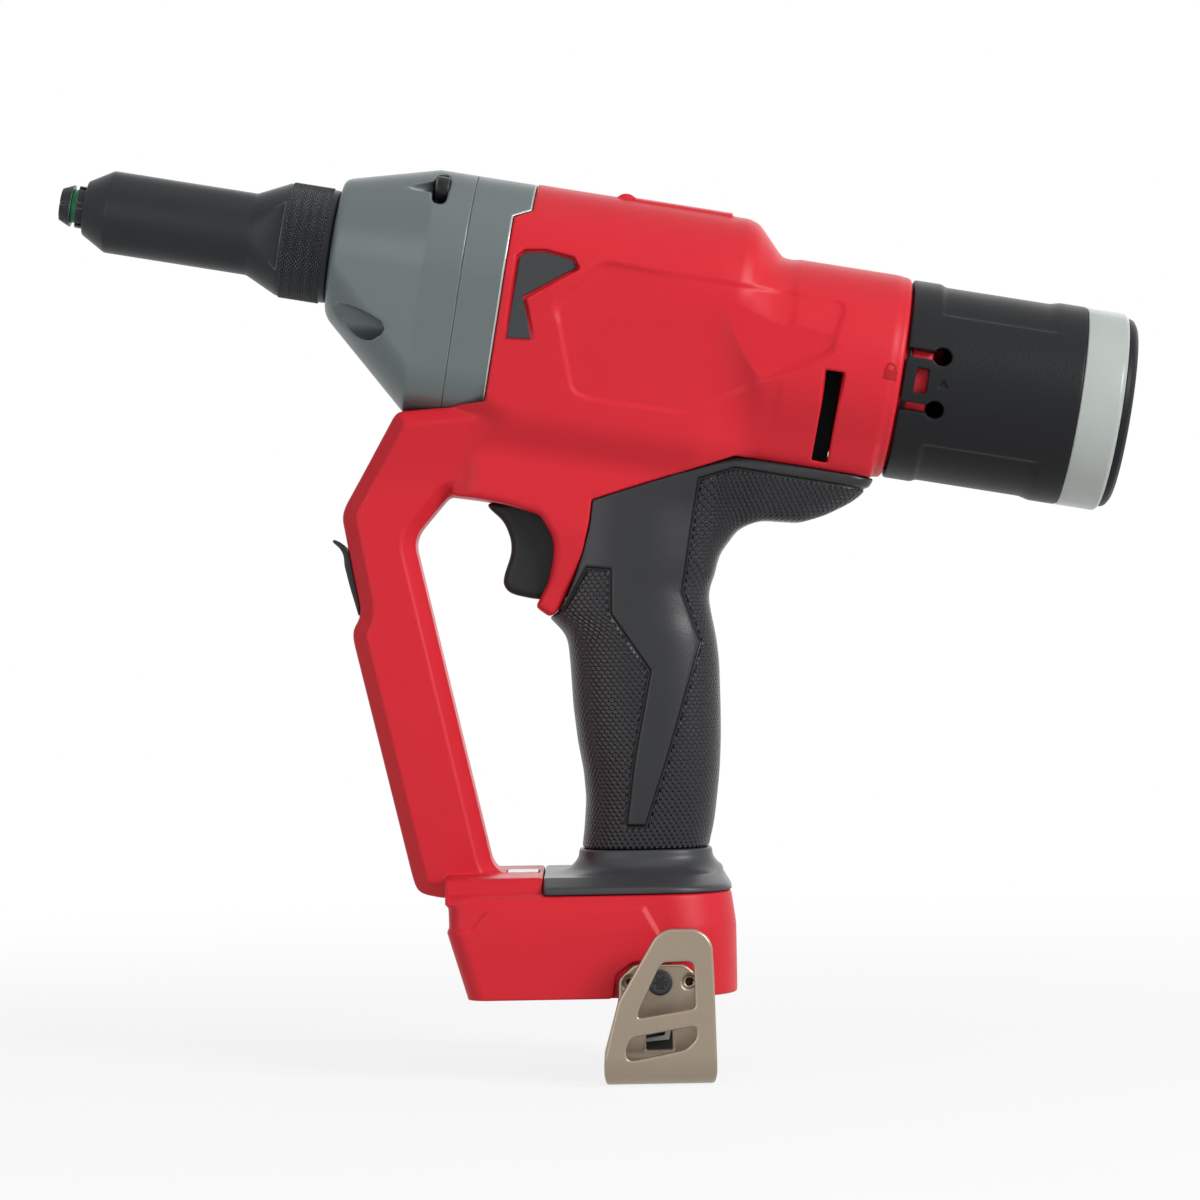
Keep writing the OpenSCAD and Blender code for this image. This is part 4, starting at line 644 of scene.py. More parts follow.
class Graph:
    """Nodes of a material or of the world."""

    def __init__(self, owner: bpy.types.Material | bpy.types.World) -> None:
        """Start with no nodes.

        Args:
            owner: Material or world that the nodes belong to.
        """
        owner.use_nodes = True
        self.tree = owner.node_tree
        self.tree.nodes.clear()

    def add(self, kind: str, inputs: dict[str | int, Value] | None = None,
            **settings: object) -> bpy.types.Node:
        """Add a node, with its values set and its sources linked.

        Args:
            kind: Type of the node.
            inputs: Value or source for each input, by its name or number.
            **settings: Settings of the node.

        Returns:
            The node.
        """
        node = self.tree.nodes.new(kind)
        for key, setting in settings.items():
            setattr(node, key, setting)
        for key, value in (inputs or {}).items():
            if isinstance(value, bpy.types.NodeSocket):
                self.tree.links.new(value, node.inputs[key])
            else:
                node.inputs[key].default_value = value
        return node

    def math(self, operation: str, *values: Value) -> Socket:
        """Work out a number from others."""
        return self.add("ShaderNodeMath", dict(enumerate(values)), operation=operation).outputs[0]

    def mix(self, share: Value, low: Value, high: Value) -> Socket:
        """Blend two colours by a share."""
        inputs = {"Factor": share, "A": low, "B": high}
        return self.add("ShaderNodeMix", inputs, data_type="RGBA").outputs["Result"]

    def mix_shaders(self, share: Value, low: Socket, high: Socket) -> Socket:
        """Blend two shaders by a share."""
        return self.add("ShaderNodeMixShader", {0: share, 1: low, 2: high}).outputs[0]

    def mark(self, name: str) -> Socket:
        """Read a value that is kept on the points of a mesh."""
        return self.add("ShaderNodeAttribute", attribute_name=name).outputs["Fac"]

    def noise(self, where: Socket, scale: float, detail: float) -> Socket:
        """Add a noise with so many cells in a metre and so many octaves."""
        inputs = {"Vector": where, "Scale": scale, "Detail": detail}
        return self.add("ShaderNodeTexNoise", inputs).outputs[0]

    def ramp(self, value: Socket, start: tuple[float, float], end: tuple[float, float],
             kind: str = "LINEAR") -> Socket:
        """Lead a value from one range over to another.

        Args:
            value: Value to lead over.
            start: Value at the start, and what it becomes.
            end: Value at the end, and what it becomes.
            kind: How it runs between them.

        Returns:
            The new value.
        """
        inputs = {"Value": value, "From Min": start[0], "From Max": end[0],
                  "To Min": start[1], "To Max": end[1]}
        return self.add("ShaderNodeMapRange", inputs, interpolation_type=kind).outputs[0]


@dataclass(frozen=True)
class Finish:
    """One material: its colour, gloss, relief and lighter edges, partly wear and partly painted
    highlight.
    """

    slot: str
    colour: tuple[int, int, int]
    roughness: float
    metallic: float = 0.0
    grain: Grain = Grain.MOULDED
    relief: float = 0.02
    tone: float = 0.05
    coat: float = 0.0
    specular: float = 0.5
    clear: float = 0.0
    glow: float = 0.0
    wear_and_highlight: float = 0.0
    wear_and_highlight_colour: tuple[int, int, int] = (170, 170, 165)

    def material(self) -> bpy.types.Material:
        """Build the finish once and give it out again.

        Returns:
            The material.
        """
        name = f"{self.slot}_{self.grain.name.lower()}"
        known = bpy.data.materials.get(name)
        if known:
            return known
        mat = bpy.data.materials.new(name)
        graph = Graph(mat)
        where = graph.add("ShaderNodeTexCoord").outputs["Object"]
        colour = self.tone_nodes(graph, where)
        if self.wear_and_highlight:
            colour = self.wear_and_highlight_nodes(graph, where, colour)
        gloss = graph.ramp(graph.noise(where, 55.0, 4.0),
                           (0.0, max(self.roughness - GLOSS_DRIFT, 0.02)),
                           (1.0, min(self.roughness + GLOSS_DRIFT, 1.0)))
        bump = graph.add("ShaderNodeBump", {
            "Strength": 1.0, "Distance": self.relief * MM, "Height": self.relief_nodes(graph, where)})
        shader = graph.add("ShaderNodeBsdfPrincipled", {
            "Base Color": colour, "Metallic": self.metallic, "Roughness": gloss,
            "Normal": bump.outputs[0], "Specular IOR Level": self.specular,
            "Coat Weight": self.coat, "Coat Roughness": COAT_ROUGHNESS,
            "Transmission Weight": self.clear})
        if self.glow:
            shader.inputs["Emission Color"].default_value = linear(self.colour)
            shader.inputs["Emission Strength"].default_value = self.glow
        graph.add("ShaderNodeOutputMaterial", {0: shader.outputs[0]})
        return mat

    def shade(self, factor: float) -> tuple[float, ...]:
        """Give the colour made darker or lighter."""
        return (*[c * factor for c in linear(self.colour)[:3]], 1.0)

    def tone_nodes(self, graph: Graph, where: Socket) -> Socket:
        """Let the colour drift between a darker and a lighter tone, with painted shade in the rubber's
        grooves.

        Args:
            graph: Nodes of the material.
            where: Place to read at.

        Returns:
            The colour.
        """
        broad = graph.math("MULTIPLY", graph.noise(where, 30.0, 3.0), 0.55)
        drift = graph.math("MULTIPLY_ADD", graph.noise(where, 1600.0, 2.0), 0.45, broad)
        colour = graph.mix(drift, self.shade(1 - self.tone), self.shade(1 + self.tone))
        # Darken the rubber along its border groove: painted shade where the groove lies in shadow.
        if self.grain is Grain.SCALED:
            colour = graph.mix(graph.mark("grimy"), colour, self.shade(PAINTED_GROOVE_SHADE))
        return colour

    def wear_and_highlight_nodes(self, graph: Graph, where: Socket, colour: Socket) -> Socket:
        """Lighten the colour along edges, partly as rubbed wear and partly as painted highlight.

        Args:
            graph: Nodes of the material.
            where: Place to read at.
            colour: Colour away from the edges.

        Returns:
            The colour with its worn edges and painted edge highlights.
        """
        # Lighter band along edges: partly rubbed wear, partly painted highlight on the edges.
        bevel = graph.add("ShaderNodeBevel", {"Radius": WEAR_AND_HIGHLIGHT_WIDTH * MM}, samples=4)
        flat = graph.add("ShaderNodeNewGeometry")
        level = graph.add("ShaderNodeVectorMath", {0: bevel.outputs[0], 1: flat.outputs["Normal"]},
                          operation="DOT_PRODUCT").outputs["Value"]
        edge = graph.ramp(level, (0.995, 0.0), (0.90, self.wear_and_highlight))
        patches = graph.ramp(graph.noise(where, 220.0, 3.0), (0.3, 0.45), (0.6, 1.0))
        return graph.mix(graph.math("MULTIPLY", edge, patches), colour, linear(self.wear_and_highlight_colour))

    def relief_nodes(self, graph: Graph, where: Socket) -> Socket:
        """Add the fine relief of the finish.

        Args:
            graph: Nodes of the material.
            where: Place to read at.

        Returns:
            The height.
        """
        if self.grain is Grain.SCALED:
            return self.scale_nodes(graph, where)
        if self.grain in (Grain.BRUSHED, Grain.TURNED):
            pull = (60, 60, 2500) if self.grain is Grain.BRUSHED else (2500, 60, 60)
            stretch = graph.add("ShaderNodeVectorMath", {0: where, 1: pull}, operation="MULTIPLY")
            return graph.noise(stretch.outputs[0], 1.0, 3.0)
        if self.grain is Grain.SPARKED:
            return graph.math("MULTIPLY", graph.noise(where, 1100.0, 2.0), graph.mark("grained"))
        return graph.noise(where, 1500.0 if self.grain is Grain.MOULDED else 700.0, 3.0)

    def scale_nodes(self, graph: Graph, where: Socket) -> Socket:
        """Add small upright scales where the rubber is grained, and a fine mist elsewhere.

        Args:
            graph: Nodes of the material.
            where: Place to read at.

        Returns:
            The height.
        """
        height = graph.add("ShaderNodeSeparateXYZ", {0: where}).outputs[2]
        waves = [graph.math("COSINE", graph.math("MULTIPLY", value, math.pi / pitch))
                 for value, pitch in ((graph.mark("wrap"), SCALE_WIDTH), (height, SCALE_HEIGHT * MM))]
        dome = graph.ramp(graph.math("MULTIPLY", *waves), (-0.35, 0.0), (0.75, 1.0), "SMOOTHSTEP")
        scales = graph.math("MULTIPLY", dome, graph.mark("grained"))
        return graph.math("MULTIPLY_ADD", graph.noise(where, 1500.0, 2.0), 0.05, scales)


RED_SHELL = Finish("red_shell", (206, 34, 47), 0.42, relief=0.010, tone=0.03, specular=0.24)
RED_MARK = Finish("red_shell", (168, 20, 33), 0.5, grain=Grain.CAST, relief=0.006, tone=0.03,
                  specular=0.2)
GRIP_RUBBER = Finish("grip_rubber", (35, 36, 39), 0.34, grain=Grain.SCALED, relief=0.62, tone=0.10,
                     specular=0.36)
# Boot rubber, lighter than the grip rubber: its own grey, partly lightened as painted sheen for the
# highlight on its flare.
BOOT_RUBBER_WITH_SHEEN = Finish("grip_rubber", (57, 58, 61), 0.38, relief=0.012, tone=0.08, specular=0.32)
CAST_CASE = Finish("cast_case", (101, 110, 110), 0.38, metallic=0.25, grain=Grain.CAST, relief=0.022,
                   specular=0.35, wear_and_highlight=0.5, wear_and_highlight_colour=(205, 210, 206))
# Light metal of the thin band on the case's rear edge: painted highlight along that edge.
RIM_HIGHLIGHT = Finish("cast_case", (178, 182, 178), 0.3, metallic=0.7, grain=Grain.BRUSHED, relief=0.006,
                  specular=0.4)
BLACK_SCREW = Finish("black_screw", (26, 27, 29), 0.38, metallic=0.4, grain=Grain.TURNED, wear_and_highlight=0.4,
                     specular=0.3)
GREY_CATCH = Finish("grey_inlay", (150, 158, 152), 0.4, grain=Grain.CAST, relief=0.012, specular=0.3)
GREY_INLAY = Finish("grey_inlay", (54, 57, 59), 0.45, relief=0.015, specular=0.25)
# Nose steel: its lighter edges are partly wear and partly painted highlight.
BLACK_STEEL = Finish("black_steel", (36, 39, 41), 0.40, metallic=0.35, grain=Grain.TURNED, relief=0.008,
                     tone=0.08, specular=0.3, wear_and_highlight=0.8, wear_and_highlight_colour=(120, 124, 126))
KNURL_STEEL = Finish("black_steel", (58, 61, 63), 0.3, metallic=0.9, grain=Grain.BRUSHED, relief=0.004,
                     specular=0.4)
GREEN_RING = Finish("green_ring", (14, 132, 82), 0.4, specular=0.3)
LIGHT_LENS = Finish("light_lens", (20, 21, 23), 0.16, coat=0.2, relief=0.004, tone=0.08,
                    specular=0.3)
LIGHT_CHIP = Finish("light_chip", (240, 236, 200), 0.4, glow=0.2)
STATUS_LENS = Finish("status_lens", (205, 194, 184), 0.3, coat=0.2, relief=0.006, specular=0.3)
BLACK_PLASTIC = Finish("black_plastic", (33, 34, 36), 0.48, relief=0.014, tone=0.08, specular=0.22)
SPRING_STEEL = Finish("spring_steel", (170, 172, 176), 0.25, metallic=1.0, grain=Grain.TURNED,
                      relief=0.004)
CIRCUIT_BOARD = Finish("circuit_board", (18, 84, 46), 0.4, coat=0.3, tone=0.2)
MOTOR_IRON = Finish("motor_iron", (96, 84, 74), 0.45, metallic=0.8, grain=Grain.BRUSHED, tone=0.1)
BEARING_STEEL = Finish("bearing_steel", (176, 178, 182), 0.2, metallic=1.0, grain=Grain.TURNED,
                       relief=0.004)
GEAR_STEEL = Finish("gear_steel", (150, 151, 154), 0.3, metallic=1.0, grain=Grain.BRUSHED, relief=0.006)
JAW_STEEL = Finish("jaw_steel", (108, 110, 115), 0.35, metallic=1.0, grain=Grain.BRUSHED, relief=0.008)
CONTACT_BRASS = Finish("contact_brass", (196, 160, 82), 0.25, metallic=1.0, grain=Grain.BRUSHED,
                       relief=0.004)
# Dark brown for the floors of the hook's holes: painted shade.
HOOK_SHADE = Finish("hook_metal", (52, 38, 28), 0.6, grain=Grain.BRUSHED, relief=0.004, specular=0.1)
# Hook metal: its lighter edges are partly wear and partly painted highlight.
HOOK_METAL = Finish("hook_metal", (154, 140, 123), 0.32, metallic=0.65, grain=Grain.CAST, relief=0.008,
                    tone=0.06, specular=0.4, wear_and_highlight=0.9, wear_and_highlight_colour=(226, 214, 196))
SCREW_STEEL = Finish("screw_steel", (62, 63, 66), 0.42, metallic=0.6, grain=Grain.TURNED, relief=0.01,
                     wear_and_highlight=0.5)
SEAL_RUBBER = Finish("seal_rubber", (20, 20, 21), 0.5, specular=0.25)
CUP_BLACK = Finish("cup_black", (27, 28, 30), 0.40, grain=Grain.SPARKED, relief=0.08, tone=0.10,
                   specular=0.15)
CUP_END = Finish("cup_black", (27, 28, 30), 0.42, relief=0.014, tone=0.08, specular=0.14)
CUP_CLEAR = Finish("cup_clear", (204, 211, 206), 0.24, relief=0.010, tone=0.03, clear=0.4, specular=0.4)


def add_piece(name: str, mesh: bpy.types.Mesh, finish: Finish, body: str = "tool_body",
              nodes: Sequence[str] = ()) -> bpy.types.Object:
    """Put a mesh into the scene as a piece of the tool.

    Args:
        name: Name of the piece.
        mesh: Its mesh.
        finish: Its finish.
        body: Body that carries it.
        nodes: Solids that it stands for.

    Returns:
        The piece.
    """
    mesh.name = name
    mesh.materials.clear()
    mesh.materials.append(finish.material())
    piece = bpy.data.objects.new(name, mesh)
    bpy.context.scene.collection.objects.link(piece)
    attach(piece, body)
    if nodes:
        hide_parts(*nodes)
    LOG.info("%s: %d faces on %s", name, len(mesh.polygons), body)
    return piece


def dress(node: str, finish: Finish, bevel: float = 0.0) -> None:
    """Give a solid its finish, and soft edges where asked.

    Args:
        node: Name of the solid.
        finish: Its finish.
        bevel: Width of the softened edges, or 0.
    """
    solid = frame["nodes"][node]
    for part in [solid, *solid.children_recursive]:
        if part.type != "MESH":
            continue
        if not part.material_slots:
            part.data.materials.append(None)
        for place in part.material_slots:
            place.link = "OBJECT"
            place.material = finish.material()
        if bevel:
            weld = part.modifiers.new("weld", "WELD")
            weld.merge_threshold = 0.01 * MM
            flat = part.modifiers.new("flat", "DECIMATE")
            flat.decimate_type = "DISSOLVE"
            flat.angle_limit = math.radians(1.5)
            soft = part.modifiers.new("soft", "BEVEL")
            soft.width = bevel * MM
            soft.segments = 3
            soft.limit_method = "ANGLE"
            soft.angle_limit = math.radians(40)
            soft.harden_normals = True
    LOG.info("%s: solid with finish %s", node, finish.slot)


@dataclass
class Housing:
    """The two red moulded halves: barrel, collar, front arm, trigger guard and foot."""

    step: float = 0.55
    faces: int = 90000
    wall: float = 3.0
    seam: float = 0.04
    case_r: float = 27.55
    case_lobes: tuple[float, float, float] = (6.0, -28.0, 17.15)
    case_room_s: float = -26.1
    cheek_start: tuple[float, float] = (-43.5, 145.0)
    cheek_y: float = 13.2
    cheek_slope: float = 0.55
    flare_z: float = 150.0
    flare_slope: float = 0.34
    arm: Outline = ((-56.4, 34.0), (-55.3, 30.6), (-53.4, 28.9), (-47.5, 27.6), (-26.2, 27.6),
                    (-26.2, 34.4), (-30.1, 34.7), (-32.9, 37.6), (-53.9, 131.3), (-52.7, 135.1),
                    (-43.5, 145.8), (-26.2, 143.5), (-19.9, 164.6), (-26.2, 172.6), (-58.4, 170.3),
                    (-74.3, 142.9), (-75.2, 139.6), (-70.3, 112.9), (-70.7, 109.9), (-72.5, 106.9),
                    (-72.6, 103.9))
    arm_ease: float = 2.2
    arm_half: float = 13.0
    arm_bevel: float = 4.2
    guard: Outline = ((-14.2, 109.1), (-11.2, 112.4), (-5.6, 124.1), (3.7, 139.0), (38.0, 149.0),
                      (42.0, 165.0), (-40.0, 165.0), (-43.5, 145.7), (-34.9, 144.4), (-27.1, 142.7),
                      (-17.0, 139.5), (-13.4, 132.8), (-13.2, 128.1), (-14.8, 120.2), (-18.0, 114.3),
                      (-18.9, 112.5))
    guard_half: float = 16.5
    rubber: Outline = ((-15.5, 109.0), (-12.4, 111.3), (-9.8, 115.3), (-7.0, 122.1), (-5.0, 128.1),
                       (-2.9, 136.8), (-1.9, 143.6), (40.2, 155.7), (60.6, 152.2), (80.5, 148.5),
                       (97.0, 148.2), (97.0, 39.3), (-22.0, 39.3), (-22.0, 107.9))
    panel: Outline = ((-9.4, -8.8), (-1.2, -31.6), (3.7, -33.0), (32.7, -32.6), (70.0, -8.3),
                      (72.3, 4.1), (70.6, 5.4), (2.0, 5.4))
    inlay: Outline = ((-22.5, -19.7), (-15.6, -19.0), (-19.9, -7.2), (-5.8, 3.4), (-7.4, 5.5),
                      (-15.5, 6.4), (-20.9, 5.5), (-22.6, 3.8))
    foot_panel: Outline = ((-48.0, -3.0), (20.0, -3.0), (20.0, 11.0), (15.2, 19.4), (11.2, 26.6),
                           (-34.4, 26.2), (-38.6, 20.9), (-48.0, 20.7))
    hook_seat: Outline = ((-0.9, -9.8), (30.9, -9.8), (30.6, -2.7), (26.8, 2.7), (25.1, 7.9), (22.5, 9.6),
                          (8.0, 9.8), (5.0, 7.6), (3.3, 6.3), (2.5, 0.4), (-0.9, -4.3))
    trigger: Outline = ((-18.0, 114.6), (-7.8, 115.2), (-2.2, 114.0), (-2.2, 142.0), (-13.4, 146.2),
                        (-33.0, 143.9), (-32.9, 141.6), (-28.3, 137.7), (-26.3, 132.5), (-26.3, 128.2),
                        (-28.5, 122.3), (-28.9, 119.2), (-26.6, 116.2))
    lock_mark: tuple[float, float] = (88.5, -12.2)
    bosses: Outline = ((-50.5, 155.0), (-61.0, 99.9), (-47.5, 56.0), (-34.0, 29.0), (72.0, 156.0),
                       (43.0, 221.5))
    boss_r: float = 3.2
    boss_floor: float = 7.0
    pod_ends: tuple[float, float] = (37.0, 52.0)
    front_s: float = -49.4
    rear_s: float = 88.0
    spigot: tuple[float, float, float] = (26.2, 23.2, 100.4)
    pad: tuple[float, float, float, float] = (28.3, 22.2, 14.6, 8.0)
    rib: tuple[float, float, float, float] = (5.4, 25.2, 3.6, 6.0)
    tube_hole_r: float = 6.15
    foot_top: float = 29.6
    foot_rear: float = 38.0
    foot_half: float = 39.2
    deck_top: float = 34.6
    bay: tuple[float, float, float, float, float] = (-3.5, 32.5, 32.0, 13.7, 10.3)
    rails: tuple[float, float, float] = (31.0, 27.0, 4.4)
    panel_y: float = 25.3
    panel_slope: float = 3.2 / 81.7
    panel_depth: float = 0.6
    inlay_gap: float = 0.85
    inlay_floor: float = 25.1
    vent: tuple[float, float, float, float] = (72.7, 2.3, -27.6, 13.0)
    seat_floor: float = 38.0
    insert: tuple[float, float, float, float] = (15.2, 4.6, 3.1, 31.0)
    status: tuple[float, float, float, float] = (-24.1, 4.7, 7.2, 32.6)

    def build(self) -> None:
        """Make both halves."""
        space = Space((-80.0, -1.0, -2.0), (102.0, 41.5, 238.0), self.step)
        form = self.form(space)
        right = form
        for x, z in self.bosses:
            hole = np.hypot(space.x - x, space.z - z) - self.boss_r
            right = soft_max(right, -np.maximum(hole, self.boss_floor - space.y), 0.5)
        for name, shape, side in (("left", form, -1), ("right", right, 1)):
            mesh = space.mesh(shape, f"{name}_shell", self.faces, side)
            add_piece(f"{name}_shell", mesh, RED_SHELL, nodes=(f"{name}_housing",))
        self.build_lock_mark()

    def build_lock_mark(self) -> None:
        """Make the small padlock sign on the collar."""
        mark_s, mark_t = self.lock_mark
        space = Space((mark_s - 2.6, -31.0, mark_t - 3.2), (mark_s + 2.6, -28.4, mark_t + 3.6),
                      0.13, tilted=True)
        u, v = space.s - mark_s, space.t - mark_t
        block = np.maximum(np.abs(u) - 1.9, np.abs(v + 1.0) - 1.5)
        bow = np.abs(np.hypot(u, np.maximum(v - 1.0, 0.0)) - 1.25) - 0.32
        sign = np.minimum(block, np.maximum(bow, -v))
        skin = np.abs(self.upper(space)) - 0.16
        add_piece("lock_mark", space.mesh(np.maximum(sign, skin), "lock_mark", 12000), RED_MARK)

    def upper(self, space: Space) -> Field:
        """Barrel, motor pod, hump and collar without their hollow.

        Args:
            space: Sample points.

        Returns:
            Distance to the form.
        """
        y, s, t = space.y, space.s, space.t
        sizes = ((0.0, -CUP_DROP), (BARREL_R, COLLAR_R), (9.0, 11.0), (-37.0, -35.0), (14.0, 9.0))
        body = lobed(y, t, *(curve(s, self.pod_ends, pair, 5) for pair in sizes))
        body = soft_max(body, self.cheek(space), 2.0)
        body = soft_max(body, np.maximum(s - 88.6, self.front_s - s), 1.5)
        hump_r = curve(s, (-30.0, 42.0, 45.2, 53.4, 62.0), (BARREL_R, BARREL_R, 26.3, 17.6, 8.2), 1.6)
        hump = np.maximum((np.hypot(y, t) - hump_r) * 0.8, -30.0 - s)
        collar = np.hypot(y, t + CUP_DROP) - COLLAR_R
        collar = soft_max(collar, np.maximum(s - 92.0, 58.0 - s), 1.6)
        return soft_min(soft_min(body, hump, 1.0), collar, 1.5)

    def cheek(self, space: Space) -> Field:
        """Slanting face that leads from the arm out to the pod.

        Args:
            space: Sample points.

        Returns:
            Distance to the face, positive outside.
        """
        above = np.logaddexp(0.0, (space.z - 168.5) / 1.5) * 1.5
        start_x, start_z = self.cheek_start
        past = 0.901 * (space.x - start_x) - 0.432 * (space.z - start_z) + 1.4 * above
        return (space.y - self.cheek_y - self.flare(space) - self.cheek_slope * past) * 0.8

    def flare(self, space: Space) -> Field:
        """How much wider the arm's half grows towards the gear case."""
        return self.flare_slope * np.logaddexp(0.0, (space.z - self.flare_z) / 3.0) * 3.0

    def form(self, space: Space) -> Field:
        """One half of the housing.

        Args:
            space: Sample points.

        Returns:
            Distance to the half.
        """
        x, y, z, s, t = space.x, space.y, space.z, space.s, space.t
        upper = self.upper(space)
        hollow = np.maximum(np.maximum(upper + self.wall, s - self.rear_s), -30.0 - s)
        pad_r, pad_s, pad_long, pad_half = self.pad
        pad = np.maximum(np.hypot(y, t) - pad_r, np.abs(s - pad_s) - pad_long)
        pad = soft_max(pad, y - pad_half, 0.8)
        rib_s, rib_t, rib_r, rib_half = self.rib
        rib = soft_max(np.hypot(s - rib_s, t - rib_t) - rib_r, y - rib_half, 1.0)
        arm_flat = outline_distance(x, z, eased(self.arm, self.arm_ease))
        face = y - self.arm_half - self.flare(space)
        bevel = (arm_flat + face + self.arm_bevel) * 0.7071
        arm = soft_max(soft_max(arm_flat, face, 0.8), bevel, 0.5)
        full = self.guard_half
        half = curve(z, (106.0, 116.0, 134.0, 170.0), (11.4, 12.2, full, full), 4.0)
        guard = slab(outline_distance(x, z, eased(self.guard, 2.0)), y + full - half, full, 2.4)
        form = soft_max(soft_min(upper, guard, 5.0), self.cheek(space), 1.0)
        form = np.minimum(form, np.minimum(pad, rib))
        form = soft_max(form, -outline_distance(x, z, self.rubber), 0.4)
        form = soft_min(form, arm, 1.2)
        form = soft_max(form, -self.case_room(space), 0.7)
        form = soft_min(form, self.foot(space), 0.8)
        form = soft_max(form, -hollow, 0.6)
        outer, inner, end = self.spigot
        r = np.hypot(y, t + CUP_DROP)
        spigot = soft_max(r - outer, np.maximum(s - end, self.rear_s - s), 1.2)
        spigot = np.maximum(spigot, -np.maximum(r - inner, 92.0 - s))
        tube_hole = np.minimum(self.tube_hole_r - np.hypot(y, t), s - 80.0)
        form = np.maximum(np.minimum(form, spigot), tube_hole)
        form = self.cuts(space, form)
        return soft_max(form, self.seam - y, 0.5)

    def case_room(self, space: Space) -> Field:
        """Room of the gear case, cut out of the housing.

        Args:
            space: Sample points.

        Returns:
            Distance to the room.
        """
        end = self.case_room_s
        edge = ((-160.0, 60.0), (-160.0, -44.8), (self.front_s, -44.8), (end, -38.7), (end, 15.4),
                (-21.1, 18.0), (-21.1, 60.0))
        lobes = lobed(space.y, space.t, 0.0, self.case_r, *self.case_lobes)
        before = outline_distance(space.s, space.t, edge)
        return np.minimum(before, np.maximum(lobes, space.s - end))

    def foot(self, space: Space) -> Field:
        """Battery foot with its deck, side panel and bay.

        Args:
            space: Sample points.

        Returns:
            Distance to the foot.
        """
        x, y, z = space.x, space.y, space.z
        front = curve(z, (0.0, 20.0, 29.0), (-39.0, -45.0, -45.2), 1.5)
        inset = curve(z, (0.0, 20.0, self.foot_top), (0.0, 0.0, 1.3), 1.5)
        rear = self.foot_rear
        mid, half = (front + rear - inset) / 2, (rear - inset - front) / 2
        corner = np.where(x > mid, 20.0, 5.0)
        u, v = np.abs(x - mid) - half + corner, y - (self.foot_half - inset) + corner
        plan = round_trim(u, v, corner)
        block = soft_max(plan, np.maximum(z - self.foot_top, -z), 1.0)
        deck_half = curve(z, (28.0, self.deck_top), (37.6, 31.0), 1.0)
        deck = np.maximum(y - deck_half, np.maximum(-46.0 - x, x + 17.9))
        deck = soft_max(deck, np.maximum(z - self.deck_top, 27.0 - z), 1.0)
        proud = np.clip(-outline_distance(x, z, self.foot_panel) / 1.1, 0.0, 1.0) * 0.8
        panel = np.maximum(np.maximum(plan - proud, y - 40.0), np.maximum(z - 29.0, -z))
        foot = soft_min(np.minimum(block, np.where(proud > 0, panel, block)), deck, 1.2)
        bay_x, bay_long, bay_half, bay_z, bay_high = self.bay
        bay = np.maximum(np.abs(x - bay_x) - bay_long, y - bay_half)
        bay = np.maximum(bay, np.abs(z - bay_z) - bay_high)
        rail_end, rail_half, rail_top = self.rails
        rails = np.maximum(np.maximum(x - rail_end, y - rail_half), z - rail_top)
        return soft_max(foot, -np.minimum(bay, rails), 0.6)

    def trigger_room(self, space: Space) -> Field:
        """Room that the trigger sweeps on its way back.

        Args:
            space: Sample points.

        Returns:
            Distance to the room.
        """
        steps = [outline_distance(space.x - share * COS, space.z + share * SIN, self.trigger)
                 for share in (0.0, TRIGGER_TRAVEL / 2, TRIGGER_TRAVEL)]
        return np.maximum(np.minimum.reduce(steps), space.y - 8.0)

    def cuts(self, space: Space, form: Field) -> Field:
        """Cut the panels, inlays, vents, trigger room, hook seat and status window.

        Args:
            space: Sample points.
            form: Distance to the uncut half.

        Returns:
            Distance to the cut half.
        """
        x, y, z, s, t = space.x, space.y, space.z, space.s, space.t
        panel_s = self.panel[0][0]
        depth = np.maximum(y - self.panel_y - (s - panel_s) * self.panel_slope,
                           self.upper(space) + self.panel_depth)
        panel = outline_distance(s, t, eased(self.panel, 2.0)) - 1.3 * np.minimum(depth, 3.0)
        form = soft_max(form, -soft_max(panel, -depth, 0.4), 0.6)
        inlay = outline_distance(s, t, self.inlay)
        form = soft_max(form, -np.maximum(inlay - self.inlay_gap, self.inlay_floor - y), 0.3)
        vent_s, vent_long, vent_t, vent_high = self.vent
        widen = np.clip(y - 27.0, 0, 2) * 0.3
        vent = np.maximum(np.abs(s - vent_s) - vent_long - widen, np.abs(t - vent_t) - vent_high)
        form = soft_max(form, -np.maximum(vent, 10.0 - y), 0.5)
        form = soft_max(form, -self.trigger_room(space), 0.6)
        seat = outline_distance(x, z, eased(self.hook_seat, 1.0)) - 0.8
        form = soft_max(form, -np.maximum(seat, self.seat_floor - y), 0.5)
        insert_x, insert_z, insert_r, insert_end = self.insert
        insert = np.hypot(x - insert_x, z - insert_z) - insert_r
        form = np.maximum(form, -np.maximum(insert, insert_end - y))
        status_x, status_long, status_half, status_floor = self.status
        status = np.maximum(np.abs(x - status_x) - status_long, y - status_half)
        return soft_max(form, -np.maximum(status, status_floor - z), 0.4)


